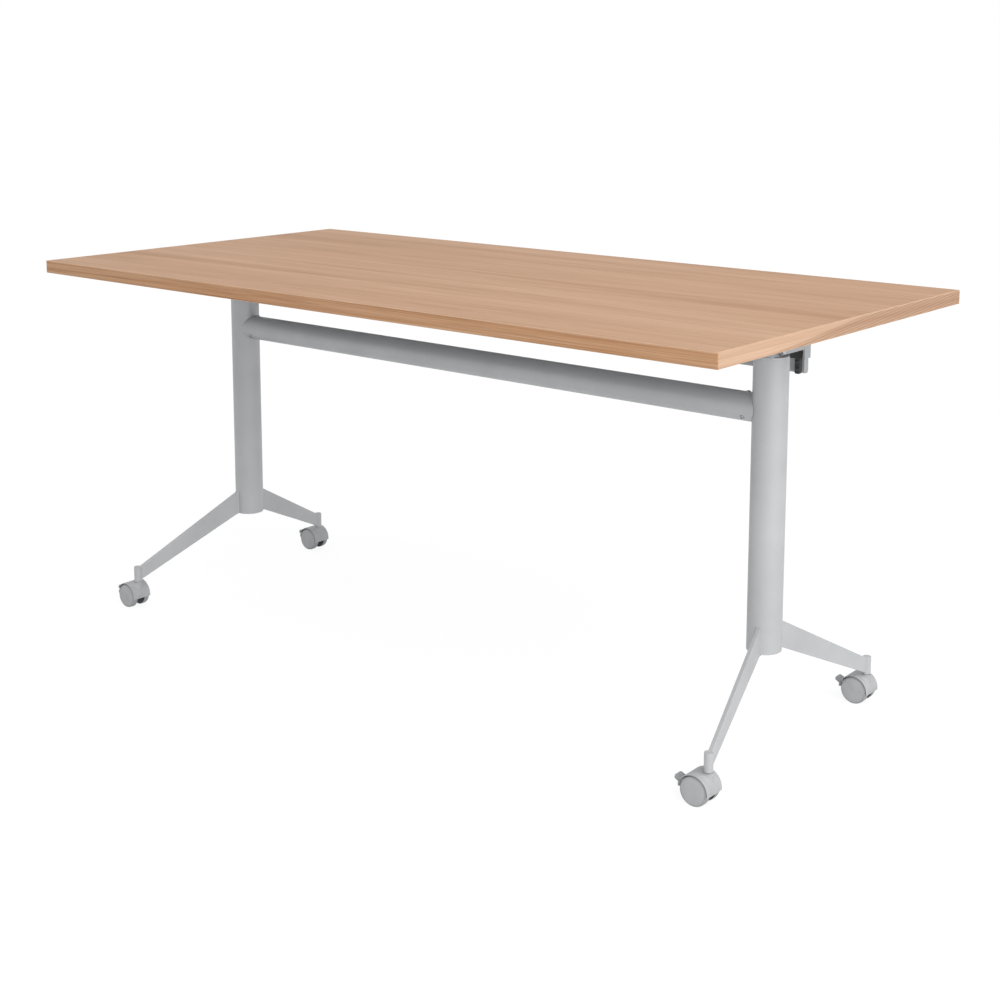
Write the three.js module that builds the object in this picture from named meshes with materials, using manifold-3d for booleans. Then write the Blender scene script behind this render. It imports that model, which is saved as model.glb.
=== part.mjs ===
// Flip top training table: a board on two column legs with splayed feet and braked twin-wheel
// castors, joined by a round beam. The board turns up on a hinge pin at the head of each column,
// and a bar under it draws the two bolts that lock it. Millimetres, +X along the table, +Z up,
// origin on the floor under the middle of the table.
import * as THREE from "three";
import Module from "manifold-3d";
import { mergeVertices } from "three/addons/utils/BufferGeometryUtils.js";

// Table top
const TABLE_LENGTH = 1600;
const TABLE_WIDTH = 800;
const TABLE_HEIGHT = 750;
const TOP_THICKNESS = 25;
const EDGE_BAND = 2;

// Clearances
const FIT_GAP = 0.3; // around a turned or cut piece
const SIDE_GAP = 0.3; // at the end of a piece that turns
const OVERRUN = 1; // how far a cut or a hidden join reaches past a face

// Legs: column tube, its plug, and the head that carries the hinge
const LEG_INSET = 146; // end of the top to the axis of the column
const COLUMN_DIAMETER = 60;
const COLUMN_WALL = 2;
const COLUMN_BOTTOM = 164;
const COLUMN_PLUG_DEPTH = 14;
const HEAD_PLUG_DEPTH = 40;
const HEAD_COLLAR = 4;
const HEAD_WIDTH = 34;
const HEAD_RADIUS = 26;
const PIVOT_DROP = 40; // underside of the top to the hinge axis
const PIVOT_ABOVE_COLLAR = 13;

// Hinge
const HINGE_PIN_DIAMETER = 12;
const HINGE_BUSH_WALL = 2.7;
const BUSH_PROUD = 1; // past each side of the head
const PIN_HEAD_DIAMETER = 18;
const PIN_HEAD_THICKNESS = 3;
const PIN_TAIL = 1.5; // past the far wall

// Bracket under the top
const BRACKET_PLATE_LENGTH = 300;
const BRACKET_PLATE_WIDTH = 90;
const BRACKET_PLATE = 4;
const BRACKET_CORNER = 12;
const BRACKET_WALL = 3.5;
const BRACKET_NOSE_RADIUS = 11; // round the hinge pin
const BRACKET_NOSE_FRONT = 12.4; // reach of its front edge ahead of the hinge, at the plate
const BRACKET_BACK = 92; // hinge axis to the back of the side walls
const EAR_WIDTH = 20;
const EAR_DROP = 17; // below the lower edge of the side walls
const SCREW_HOLE_DIAMETER = 5.5;
const SCREW_EDGE = 14;
const SCREW_SPACING = 86;
const SCREWS_IN_ROW = 4;

// Lock bolt, its guides and its spring
const BOLT_DIAMETER = 12;
const BOLT_TRAVEL = 6;
const BOLT_TIP_GAP = 0.6;
const BOLT_POCKET_SPARE = 1; // pocket deeper than the bolt's reach
const BOLT_COLLAR_DIAMETER = 18;
const BOLT_COLLAR = 3;
const BOLT_ROD_DIAMETER = 8;
const BOLT_HEAD_DIAMETER = 13;
const BOLT_HEAD = 3.4;
const BOLT_LOST_MOTION = 1.6; // between the lever and the head that it pulls
const FRONT_GUIDE_AT = 40; // hinge axis to the front face of the guide
const FRONT_GUIDE = 4;
const REAR_GUIDE_AT = 64;
const REAR_GUIDE = 3;
const SPRING_OUTER = 15;
const SPRING_WIRE = 1.3;
const SPRING_CURLS = 4;
const SPRING_END_GAP = 0.3;

// Release lever and the bar that joins both levers
const LEVER_PIN_BACK = 82; // hinge axis to lever pin
const LEVER_PIN_DROP = 15; // underside of the top to lever pin
const LEVER_PIN_DIAMETER = 6;
const LEVER_PIN_RIM = 1.5; // of each riveted end, outside the wall
const LEVER_BOSS_RADIUS = 7;
const LEVER_BOSS_WIDTH = 30;
const LEVER_FORK_THICKNESS = 8;
const LEVER_FORK_GAP = 11;
const LEVER_HEAD_WIDTH = 28; // across the T
const LEVER_HEAD_TOP = 57; // below the underside of the top
const LEVER_HEAD_DEPTH = 13;
const LEVER_STEM_WIDTH = 10;
const LEVER_STEM_THICKNESS = 8;
const LEVER_ROUND = 2.5;
const BAR_HEIGHT = 28;
const BAR_DEPTH = 14;
const BAR_WALL = 1.5;
const BAR_ROUND = 5;
const BAR_PAST_LEG = 6; // axis of the column to the end of the tube
const BAR_CAP = 3;
const BAR_CAP_PLUG = 12;

// Beam between the columns
const BEAM_DIAMETER = 50;
const BEAM_WALL = 2;
const BEAM_DROP = 145.5; // underside of the top to its axis
const SPIGOT_REACH = 46; // past the face of the column
const SPIGOT_WALL = 4;

// Feet: tapered flat bars with a socket for the castor stem
const FOOT_SPREAD = 264; // middle of the table to the castor stem, across
const FOOT_SPLAY = 60; // column axis to the castor stem, along
const FOOT_THICKNESS = 7;
const FOOT_ROOT_DEPTH = 49;
const FOOT_TIP_DROP = 4; // top of the socket to the upper edge of the foot
const SOCKET_DIAMETER = 15;
const SOCKET_HEIGHT = 32;
const SOCKET_ABOVE_HOOD = 3.3;

// Castors
const WHEEL_DIAMETER = 50;
const CASTOR_TRAIL = 15; // stem axis to axle
const CASTOR_WIDTH = 44; // over the faces of both wheels
const WHEEL_RIM = 0.3; // part of the wheel outside the hood
const WHEEL_DISH = 0.9;
const WHEEL_CHAMFER = 0.9;
const WHEEL_WEB_THICKNESS = 4.6; // closes the end of the axle
const WHEEL_TO_HOOD = 1.2;
const HOOD_WALL = 1.5;
const HOOD_FRONT_ANGLE = -7; // degrees above the front of the axle
const HOOD_REAR_ANGLE = 148;
const WEB_WIDTH = 17;
const AXLE_DIAMETER = 8;
const AXLE_HUB = 18;
const STEM_DIAMETER = 11;
const STEM_BELOW_AXLE = 1;
const STEM_FLANGE = 1;
const STEM_TOP_GAP = 2; // below the top of the socket
const NECK_DIAMETER = 16;
const NECK_FOOT_RADIUS = 10.5;
const NECK_WAIST_RADIUS = 9;
const NECK_WAIST_DROP = 10; // below the top of the neck
const NECK_FOOT_RISE = 8; // above the axle
const PEDAL_PIVOT_BACK = 13; // behind the axle
const PEDAL_PIVOT_UP = 12; // above the axle
const PEDAL_PIN_DIAMETER = 4;
const PEDAL_EYE_RADIUS = 4.6;
const PEDAL_ROOM = 1; // round the eye, in the slot
const PEDAL_ARM_WIDTH = 10;
const PEDAL_ARM_DEPTH = 6; // at the shoe
const PEDAL_TAB_WIDTH = 20;
const PEDAL_TAB_REACH = 43; // behind the axle
const PEDAL_TAB_RISE = 12; // of the tab's end above the axle
const PEDAL_THICKNESS = 4;
const SHOE_WIDTH = 34;
const SHOE_GAP = 1.6; // to the tread with the brake off
const SHOE_DEPTH = 4;
const SHOE_SLANT = 0.8; // of its face, square to the tread with the brake on

// Facets
const COLUMN_SIDES = 32;
const ROUND_SIDES = 16;
const SMALL_SIDES = 10;
const SCREW_HOLE_SIDES = 8;
const WHEEL_SIDES = 24;
const CORNER_STEPS = 2; // half the facets of a rounded corner
const ARC_STEPS = 7; // half the facets of a long arc
const SPRING_STEPS = 8; // for each curl
const SPRING_SIDES = 5;
const MERGE_WITHIN = 1e-4;

// Places that follow from the sizes above
const LEG_X = TABLE_LENGTH / 2 - LEG_INSET;
const UNDERSIDE = TABLE_HEIGHT - TOP_THICKNESS;
const PIVOT_Z = UNDERSIDE - PIVOT_DROP;
const BEAM_HEIGHT = UNDERSIDE - BEAM_DROP;
const COLLAR_TOP = PIVOT_Z - PIVOT_ABOVE_COLLAR;
const COLUMN_TOP = COLLAR_TOP - HEAD_COLLAR;
const COLUMN_RADIUS = COLUMN_DIAMETER / 2;
const COLUMN_BORE = COLUMN_RADIUS - COLUMN_WALL;
const HINGE_PIN_RADIUS = HINGE_PIN_DIAMETER / 2;
const BUSH_BORE = HINGE_PIN_RADIUS + FIT_GAP;
const BUSH_RADIUS = BUSH_BORE + HINGE_BUSH_WALL;
const BUSH_HALF = HEAD_WIDTH / 2 + BUSH_PROUD;
const WALL_INNER = BUSH_HALF + SIDE_GAP; // column axis to the inner face of a side wall
const WALL_OUTER = WALL_INNER + BRACKET_WALL;
const WALL_BOTTOM = PIVOT_Z - BRACKET_NOSE_RADIUS;
const PLATE_BOTTOM = UNDERSIDE - BRACKET_PLATE;
const GUIDES = [
  { at: FRONT_GUIDE_AT, thickness: FRONT_GUIDE, rod: BOLT_DIAMETER },
  { at: REAR_GUIDE_AT, thickness: REAR_GUIDE, rod: BOLT_ROD_DIAMETER },
].map(({ at, thickness, rod }) => ({ front: at, back: at + thickness, bore: rod / 2 + FIT_GAP }));
const LEVER_PIN_Z = UNDERSIDE - LEVER_PIN_DROP;
const LEVER_HEAD_Z = UNDERSIDE - LEVER_HEAD_TOP;
const FORK_FRONT = LEVER_PIN_BACK - LEVER_FORK_THICKNESS / 2;
const FORK_BACK = LEVER_PIN_BACK + LEVER_FORK_THICKNESS / 2;
const LEVER_BACK = FORK_BACK + LEVER_STEM_THICKNESS;
const BAR_TOP = LEVER_HEAD_Z - LEVER_HEAD_DEPTH;
const BAR_BOTTOM = BAR_TOP - BAR_HEIGHT;
const BAR_FRONT = LEVER_BACK + FIT_GAP;
const BAR_BACK = BAR_FRONT + BAR_DEPTH;
const WHEEL_RADIUS = WHEEL_DIAMETER / 2;
const HOOD_INNER = WHEEL_RADIUS + WHEEL_TO_HOOD;
const HOOD_OUTER = HOOD_INNER + HOOD_WALL;
const HOOD_HALF = CASTOR_WIDTH / 2 - WHEEL_RIM - FIT_GAP;
const WHEEL_INNER_FACE = WEB_WIDTH / 2 + FIT_GAP * 2;
const AXLE_HALF = CASTOR_WIDTH / 2 - WHEEL_WEB_THICKNESS;
const SOCKET_BOTTOM = WHEEL_RADIUS + HOOD_OUTER + SOCKET_ABOVE_HOOD;
const SOCKET_TOP = SOCKET_BOTTOM + SOCKET_HEIGHT;
const STEM_TOP = SOCKET_TOP - STEM_TOP_GAP;
const STEM_BOTTOM = WHEEL_RADIUS - STEM_BELOW_AXLE;

const wasm = await Module();
wasm.setup();

const MIDDLE = [0, 0, 0];
const AXES = {
  x: new THREE.Vector3(1, 0, 0),
  y: new THREE.Vector3(0, 1, 0),
  z: new THREE.Vector3(0, 0, 1),
};

// A closed geometry as a solid that can be joined and cut.
function solid(geometry) {
  const bare = geometry.clone();
  bare.deleteAttribute("normal");
  bare.deleteAttribute("uv");
  const merged = mergeVertices(bare, MERGE_WITHIN);
  const mesh = new wasm.Mesh({
    numProp: 3,
    vertProperties: merged.attributes.position.array,
    triVerts: new Uint32Array(merged.index.array),
  });
  return new wasm.Manifold(mesh);
}

// A solid as a geometry again.
function geometryOf(body) {
  const mesh = body.getMesh();
  const geometry = new THREE.BufferGeometry();
  geometry.setAttribute("position", new THREE.BufferAttribute(mesh.vertProperties, 3));
  geometry.setIndex(new THREE.BufferAttribute(mesh.triVerts, 1));
  geometry.computeVertexNormals();
  return geometry;
}

// The solids of all the geometries in one.
function join(...geometries) {
  return geometries.map(solid).reduce((all, next) => all.add(next));
}

// The body without the solids of the geometries, as a geometry.
function cut(body, ...geometries) {
  return geometryOf(geometries.map(solid).reduce((all, next) => all.subtract(next), body));
}

function box(x0, x1, y0, y1, z0, z1) {
  const geometry = new THREE.BoxGeometry(x1 - x0, y1 - y0, z1 - z0);
  return geometry.translate((x0 + x1) / 2, (y0 + y1) / 2, (z0 + z1) / 2);
}

// A round bar along an axis, from start to end on it, about the given centre.
function bar(axis, radius, start, end, centre = MIDDLE, sides = ROUND_SIDES) {
  const geometry = new THREE.CylinderGeometry(radius, radius, end - start, sides);
  geometry.translate(0, (start + end) / 2, 0);
  if (axis === "x") geometry.rotateZ(-Math.PI / 2);
  if (axis === "z") geometry.rotateX(Math.PI / 2);
  return geometry.translate(...centre);
}

// A flat outline in Y and Z, given its thickness along X.
function plateAlongX(shape, start, end, steps) {
  const geometry = extruded(shape, start, end, steps);
  return geometry.applyMatrix4(new THREE.Matrix4().makeBasis(AXES.y, AXES.z, AXES.x));
}

// A flat outline in X and Z, given its thickness along Y.
function plateAlongY(shape, start, end, steps) {
  const geometry = extruded(shape, -end, -start, steps);
  const backwards = AXES.y.clone().negate();
  return geometry.applyMatrix4(new THREE.Matrix4().makeBasis(AXES.x, AXES.z, backwards));
}

function extruded(shape, start, end, curveSegments = CORNER_STEPS) {
  const options = { depth: end - start, bevelEnabled: false, curveSegments };
  return new THREE.ExtrudeGeometry(shape, options).translate(0, 0, start);
}

function outline(points) {
  return new THREE.Shape(points.map(([u, v]) => new THREE.Vector2(u, v)));
}

// A rectangle with rounded corners.
function roundedRectangle(u0, u1, v0, v1, radius) {
  const shape = new THREE.Shape();
  shape.moveTo(u0 + radius, v0);
  shape.lineTo(u1 - radius, v0);
  shape.absarc(u1 - radius, v0 + radius, radius, -Math.PI / 2, 0);
  shape.lineTo(u1, v1 - radius);
  shape.absarc(u1 - radius, v1 - radius, radius, 0, Math.PI / 2);
  shape.lineTo(u0 + radius, v1);
  shape.absarc(u0 + radius, v1 - radius, radius, Math.PI / 2, Math.PI);
  shape.lineTo(u0, v0 + radius);
  shape.absarc(u0 + radius, v0 + radius, radius, Math.PI, 1.5 * Math.PI);
  return shape;
}

function turned(points, sides) {
  return new THREE.LatheGeometry(
    points.map(([r, h]) => new THREE.Vector2(r, h)),
    sides,
  );
}

// Finishes
function finish(color, roughness, metalness) {
  return new THREE.MeshStandardMaterial({ color, roughness, metalness });
}
const WOOD_FACE = finish("#cfab92", 0.45, 0);
const WOOD_EDGE = finish("#c59a74", 0.5, 0);
const SILVER_PAINT = finish("#b9bbbe", 0.45, 0.35);
const BRIGHT_STEEL = finish("#c8cacc", 0.25, 0.9);
const CAST_ALUMINIUM = finish("#a9abad", 0.5, 0.6);
const BLACK_PLASTIC = finish("#444444", 0.55, 0);
const GREY_PLASTIC = finish("#b4b6b8", 0.55, 0);
const BUSH_PLASTIC = finish("#d8d2c0", 0.6, 0);

function piece(name, geometry, material) {
  const mesh = new THREE.Mesh(geometry, material);
  mesh.name = name;
  return mesh;
}

// The board and the four strips glued round its edge.
function topBoard() {
  const group = new THREE.Group();
  const halfLength = TABLE_LENGTH / 2;
  const halfWidth = TABLE_WIDTH / 2;
  const x = halfLength - EDGE_BAND;
  const y = halfWidth - EDGE_BAND;
  const level = [UNDERSIDE, TABLE_HEIGHT];
  group.add(
    piece("table_top", box(-x, x, -y, y, ...level), WOOD_FACE),
    piece("edge_band_front", box(-halfLength, halfLength, -halfWidth, -y, ...level), WOOD_EDGE),
    piece("edge_band_back", box(-halfLength, halfLength, y, halfWidth, ...level), WOOD_EDGE),
    piece("edge_band_left", box(-halfLength, -x, -y, y, ...level), WOOD_EDGE),
    piece("edge_band_right", box(x, halfLength, -y, y, ...level), WOOD_EDGE),
  );
  return group;
}

// Screw plate, two side walls with ears, and the two guides that the lock bolt slides in.
function topBracket() {
  const halfPlate = BRACKET_PLATE_LENGTH / 2;
  const halfWidth = BRACKET_PLATE_WIDTH / 2;
  const rounded = roundedRectangle(-halfWidth, halfWidth, -halfPlate, halfPlate, BRACKET_CORNER);
  const insidePlate = UNDERSIDE - BRACKET_PLATE / 2;
  const earFront = BRACKET_BACK - EAR_WIDTH;
  const wall = new THREE.Shape();
  wall.moveTo(-BRACKET_NOSE_FRONT, insidePlate);
  wall.lineTo(-BRACKET_NOSE_RADIUS, PIVOT_Z);
  wall.absarc(0, PIVOT_Z, BRACKET_NOSE_RADIUS, Math.PI, 1.5 * Math.PI);
  wall.lineTo(earFront, WALL_BOTTOM);
  wall.lineTo(earFront, WALL_BOTTOM - EAR_DROP);
  wall.lineTo(BRACKET_BACK, WALL_BOTTOM - EAR_DROP);
  wall.lineTo(BRACKET_BACK, insidePlate);
  const guideEnd = WALL_INNER + BRACKET_WALL / 2;
  const body = join(
    extruded(rounded, PLATE_BOTTOM, UNDERSIDE),
    plateAlongX(wall, WALL_INNER, WALL_OUTER),
    plateAlongX(wall, -WALL_OUTER, -WALL_INNER),
    ...GUIDES.map((guide) =>
      box(-guideEnd, guideEnd, guide.front, guide.back, WALL_BOTTOM, insidePlate),
    ),
  );
  const across = WALL_OUTER + OVERRUN;
  const leverPinBore = LEVER_PIN_DIAMETER / 2 + FIT_GAP;
  const leverPinPlace = [0, LEVER_PIN_BACK, LEVER_PIN_Z];
  return cut(
    body,
    bar("x", HINGE_PIN_RADIUS + FIT_GAP, -across, across, [0, 0, PIVOT_Z]),
    bar("x", leverPinBore, -across, across, leverPinPlace, SMALL_SIDES),
    ...GUIDES.map((guide) =>
      bar("y", guide.bore, guide.front - OVERRUN, guide.back + OVERRUN, [0, 0, PIVOT_Z]),
    ),
    ...screwHoles(halfWidth - SCREW_EDGE),
  );
}

// Two rows of screw holes in the plate, the given distance from its middle line.
function screwHoles(fromMiddle) {
  const holes = [];
  for (const x of [-fromMiddle, fromMiddle]) {
    for (let i = 0; i < SCREWS_IN_ROW; i += 1) {
      const y = (i - (SCREWS_IN_ROW - 1) / 2) * SCREW_SPACING;
      const from = PLATE_BOTTOM - OVERRUN;
      const to = UNDERSIDE + OVERRUN;
      holes.push(bar("z", SCREW_HOLE_DIAMETER / 2, from, to, [x, y, 0], SCREW_HOLE_SIDES));
    }
  }
  return holes;
}

function hingePin() {
  const end = WALL_OUTER + FIT_GAP;
  return geometryOf(
    join(
      bar("x", HINGE_PIN_RADIUS, -end - PIN_TAIL, end + OVERRUN, [0, 0, PIVOT_Z]),
      bar("x", PIN_HEAD_DIAMETER / 2, end, end + PIN_HEAD_THICKNESS, [0, 0, PIVOT_Z]),
    ),
  );
}

function leverPin() {
  const end = WALL_OUTER + FIT_GAP;
  const place = [0, LEVER_PIN_BACK, LEVER_PIN_Z];
  const radius = LEVER_PIN_DIAMETER / 2;
  return geometryOf(
    join(
      bar("x", radius, -end - LEVER_PIN_RIM, end + LEVER_PIN_RIM, place, SMALL_SIDES),
      bar("x", radius + LEVER_PIN_RIM, end, end + LEVER_PIN_RIM, place, SMALL_SIDES),
      bar("x", radius + LEVER_PIN_RIM, -end - LEVER_PIN_RIM, -end, place, SMALL_SIDES),
    ),
  );
}

// Bolt with its tip at the hinge head, the collar that the spring pushes and the head that is pulled.
const BOLT_TIP = HEAD_RADIUS + BOLT_TIP_GAP;
const BOLT_COLLAR_AT = FRONT_GUIDE_AT + FRONT_GUIDE + BOLT_TRAVEL + FIT_GAP;
const BOLT_ROD_FROM = BOLT_COLLAR_AT + BOLT_COLLAR;
const BOLT_HEAD_AT = FORK_BACK + BOLT_LOST_MOTION;
function lockBolt() {
  const place = [0, 0, PIVOT_Z];
  const headTo = BOLT_HEAD_AT + BOLT_HEAD;
  return geometryOf(
    join(
      bar("y", BOLT_DIAMETER / 2, BOLT_TIP, BOLT_COLLAR_AT + OVERRUN, place),
      bar("y", BOLT_COLLAR_DIAMETER / 2, BOLT_COLLAR_AT, BOLT_ROD_FROM, place),
      bar("y", BOLT_ROD_DIAMETER / 2, BOLT_ROD_FROM - OVERRUN, headTo, place, SMALL_SIDES),
      bar("y", BOLT_HEAD_DIAMETER / 2, BOLT_HEAD_AT, headTo, place, SMALL_SIDES),
    ),
  );
}

// The coil between the bolt's collar and the rear guide.
class Coil extends THREE.Curve {
  constructor(radius, start, end, curls) {
    super();
    Object.assign(this, { radius, start, end, curls });
  }
  getPoint(t) {
    const angle = 2 * Math.PI * this.curls * t;
    const along = this.start + (this.end - this.start) * t;
    return new THREE.Vector3(
      this.radius * Math.cos(angle),
      along,
      PIVOT_Z + this.radius * Math.sin(angle),
    );
  }
}

function lockSpring() {
  const wire = SPRING_WIRE / 2;
  const start = BOLT_ROD_FROM + SPRING_END_GAP + wire;
  const end = REAR_GUIDE_AT - SPRING_END_GAP - wire;
  const coil = new Coil(SPRING_OUTER / 2 - wire, start, end, SPRING_CURLS);
  const corners = [];
  for (let i = 0; i < SPRING_SIDES; i += 1) {
    const angle = (2 * Math.PI * i) / SPRING_SIDES;
    corners.push([wire * Math.cos(angle), wire * Math.sin(angle)]);
  }
  const steps = SPRING_STEPS * SPRING_CURLS;
  const geometry = new THREE.ExtrudeGeometry(outline(corners), { steps, extrudePath: coil });
  reportLeastGap(coil, steps);
  return geometry;
}

// The least gap between turns of the coil, measured on points at least half a turn apart.
function reportLeastGap(coil, steps) {
  const points = coil.getPoints(steps);
  let least = Infinity;
  for (let i = 0; i < points.length; i += 1) {
    for (let j = i + SPRING_STEPS / 2; j < points.length; j += 1) {
      least = Math.min(least, points[i].distanceTo(points[j]) - SPRING_WIRE);
    }
  }
  console.log(`lock spring: least gap between turns ${least.toFixed(2)} mm`);
}

// T-shaped lever: a fork hung on its pin, a cross head, and the stem that carries the bar.
function releaseLever() {
  const half = LEVER_HEAD_WIDTH / 2;
  const halfStem = LEVER_STEM_WIDTH / 2;
  const head = roundedRectangle(-half, half, BAR_TOP, LEVER_HEAD_Z, LEVER_ROUND);
  const inHead = BAR_TOP + LEVER_HEAD_DEPTH / 2;
  const stem = roundedRectangle(-halfStem, halfStem, BAR_BOTTOM, inHead, LEVER_ROUND);
  const tines = [-1, 1].map((side) => {
    const [inner, outer] = [(side * LEVER_FORK_GAP) / 2, side * (half - LEVER_ROUND)];
    const edges = [Math.min(inner, outer), Math.max(inner, outer)];
    return box(...edges, FORK_FRONT, FORK_BACK, inHead, LEVER_PIN_Z);
  });
  const pinPlace = [0, LEVER_PIN_BACK, LEVER_PIN_Z];
  const boss = LEVER_BOSS_WIDTH / 2;
  const body = join(
    plateAlongY(head, FORK_FRONT, LEVER_BACK),
    plateAlongY(stem, FORK_BACK, LEVER_BACK),
    ...tines,
    bar("x", LEVER_BOSS_RADIUS, -boss, boss, pinPlace, SMALL_SIDES),
  );
  const bore = LEVER_PIN_DIAMETER / 2 + FIT_GAP;
  return cut(body, bar("x", bore, -boss - OVERRUN, boss + OVERRUN, pinPlace, SMALL_SIDES));
}

function barSection(inset) {
  return roundedRectangle(
    BAR_FRONT + inset,
    BAR_BACK - inset,
    BAR_BOTTOM + inset,
    BAR_TOP - inset,
    BAR_ROUND - inset,
  );
}

function releaseBar() {
  const end = LEG_X + BAR_PAST_LEG;
  const section = barSection(0);
  section.holes.push(barSection(BAR_WALL));
  return plateAlongX(section, -end, end);
}

// End cap of the bar, for the right-hand end.
function barCap() {
  const end = LEG_X + BAR_PAST_LEG;
  const plug = plateAlongX(barSection(BAR_WALL + FIT_GAP), end - BAR_CAP_PLUG, end + OVERRUN);
  const face = plateAlongX(barSection(0), end, end + BAR_CAP);
  return geometryOf(join(plug, face));
}

function columnTube() {
  const points = [
    [COLUMN_BORE, COLUMN_BOTTOM],
    [COLUMN_RADIUS, COLUMN_BOTTOM],
    [COLUMN_RADIUS, COLUMN_TOP],
    [COLUMN_BORE, COLUMN_TOP],
    [COLUMN_BORE, COLUMN_BOTTOM],
  ];
  return turned(points, COLUMN_SIDES).rotateX(Math.PI / 2);
}

function columnPlug() {
  const radius = COLUMN_BORE - FIT_GAP;
  const top = COLUMN_BOTTOM + COLUMN_PLUG_DEPTH;
  return bar("z", radius, COLUMN_BOTTOM, top, MIDDLE, COLUMN_SIDES);
}

// Casting in the top of the column: a plug, a collar and the round head with the bolt's two pockets.
function pivotHead() {
  const halfWidth = HEAD_WIDTH / 2;
  const inCollar = COLLAR_TOP - HEAD_COLLAR / 2;
  const tongue = new THREE.Shape();
  tongue.moveTo(-HEAD_RADIUS, inCollar);
  tongue.lineTo(HEAD_RADIUS, inCollar);
  tongue.lineTo(HEAD_RADIUS, PIVOT_Z);
  tongue.absarc(0, PIVOT_Z, HEAD_RADIUS, 0, Math.PI);
  const plugBottom = COLUMN_TOP - HEAD_PLUG_DEPTH;
  const body = join(
    bar("z", COLUMN_BORE - FIT_GAP, plugBottom, inCollar, MIDDLE, COLUMN_SIDES),
    bar("z", COLUMN_RADIUS, COLUMN_TOP, COLLAR_TOP, MIDDLE, COLUMN_SIDES),
    plateAlongX(tongue, -halfWidth, halfWidth, ARC_STEPS),
  );
  const pocket = BOLT_DIAMETER / 2 + FIT_GAP;
  const reach = BOLT_TIP - BOLT_TRAVEL - BOLT_POCKET_SPARE;
  const outside = HEAD_RADIUS + OVERRUN;
  const across = halfWidth + OVERRUN;
  const pivot = [0, 0, PIVOT_Z];
  return cut(
    body,
    bar("x", BUSH_RADIUS + FIT_GAP, -across, across, pivot),
    bar("y", pocket, reach, outside, pivot),
    bar("z", pocket, reach, outside, pivot),
  );
}

function pivotBush() {
  const points = [
    [BUSH_BORE, -BUSH_HALF],
    [BUSH_RADIUS, -BUSH_HALF],
    [BUSH_RADIUS, BUSH_HALF],
    [BUSH_BORE, BUSH_HALF],
    [BUSH_BORE, -BUSH_HALF],
  ];
  const sleeve = turned(points, ROUND_SIDES).rotateZ(-Math.PI / 2);
  return sleeve.translate(0, 0, PIVOT_Z);
}

// Round beam, its ends cut to the curve of the columns.
function beamTube() {
  const level = [0, 0, BEAM_HEIGHT];
  const radius = BEAM_DIAMETER / 2;
  const end = LEG_X + OVERRUN;
  return cut(
    solid(bar("x", radius, -LEG_X, LEG_X, level, COLUMN_SIDES)),
    bar("x", radius - BEAM_WALL, -end, end, level, COLUMN_SIDES),
    columnClearance(-LEG_X),
    columnClearance(LEG_X),
  );
}

// What the column needs clear at the level of the beam.
function columnClearance(x) {
  const low = BEAM_HEIGHT - BEAM_DIAMETER;
  const high = BEAM_HEIGHT + BEAM_DIAMETER;
  return bar("z", COLUMN_RADIUS + FIT_GAP, low, high, [x, 0, 0], COLUMN_SIDES);
}

// Stub on the left-hand column that the end of the beam is pushed over.
function beamSpigot() {
  const outer = BEAM_DIAMETER / 2 - BEAM_WALL - FIT_GAP;
  const end = COLUMN_RADIUS + SPIGOT_REACH;
  const level = [0, 0, BEAM_HEIGHT];
  return cut(
    solid(bar("x", outer, 0, end, level)),
    bar("x", outer - SPIGOT_WALL, -OVERRUN, end + OVERRUN, level),
    columnClearance(0),
  );
}

// Tapered bar and castor socket, along +X from the axis of the column.
const FOOT_LENGTH = Math.hypot(FOOT_SPREAD, FOOT_SPLAY);
function foot() {
  const rootTop = COLUMN_BOTTOM + FOOT_ROOT_DEPTH;
  const side = outline([
    [0, COLUMN_BOTTOM],
    [COLUMN_RADIUS, COLUMN_BOTTOM],
    [FOOT_LENGTH, SOCKET_BOTTOM],
    [FOOT_LENGTH, SOCKET_TOP - FOOT_TIP_DROP],
    [COLUMN_RADIUS, rootTop],
    [0, rootTop],
  ]);
  const half = FOOT_THICKNESS / 2;
  const tip = [FOOT_LENGTH, 0, 0];
  const body = join(
    plateAlongY(side, -half, half),
    bar("z", SOCKET_DIAMETER / 2, SOCKET_BOTTOM, SOCKET_TOP, tip),
  );
  const stemBore = STEM_DIAMETER / 2 + FIT_GAP;
  const aboveRoot = rootTop + OVERRUN;
  const columnRoom = COLUMN_RADIUS + FIT_GAP;
  return cut(
    body,
    bar("z", columnRoom, COLUMN_BOTTOM - OVERRUN, aboveRoot, MIDDLE, COLUMN_SIDES),
    bar("z", stemBore, SOCKET_BOTTOM - OVERRUN, STEM_TOP, tip, SMALL_SIDES),
  );
}

// Castor pieces, with the stem on the Z axis and the axle behind it along Y
const AXLE_PLACE = [-CASTOR_TRAIL, 0, WHEEL_RADIUS];
const FLANGE_TOP = SOCKET_BOTTOM - FIT_GAP;
const NECK_TOP = FLANGE_TOP - STEM_FLANGE - FIT_GAP;

function castorStem() {
  return geometryOf(
    join(
      bar("z", STEM_DIAMETER / 2, STEM_BOTTOM, STEM_TOP - FIT_GAP, MIDDLE, SMALL_SIDES),
      bar("z", SOCKET_DIAMETER / 2, FLANGE_TOP - STEM_FLANGE, FLANGE_TOP),
    ),
  );
}

// The ring sector between two radii, in degrees round the axle from the front upwards.
function ringSector(inner, outer, from, to) {
  const start = THREE.MathUtils.degToRad(from);
  const end = THREE.MathUtils.degToRad(to);
  const shape = new THREE.Shape();
  shape.absarc(0, 0, outer, start, end);
  if (inner > 0) shape.absarc(0, 0, inner, end, start, true);
  else shape.lineTo(0, 0);
  return shape;
}

function atAxle(geometry) {
  return geometry.translate(...AXLE_PLACE);
}

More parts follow.
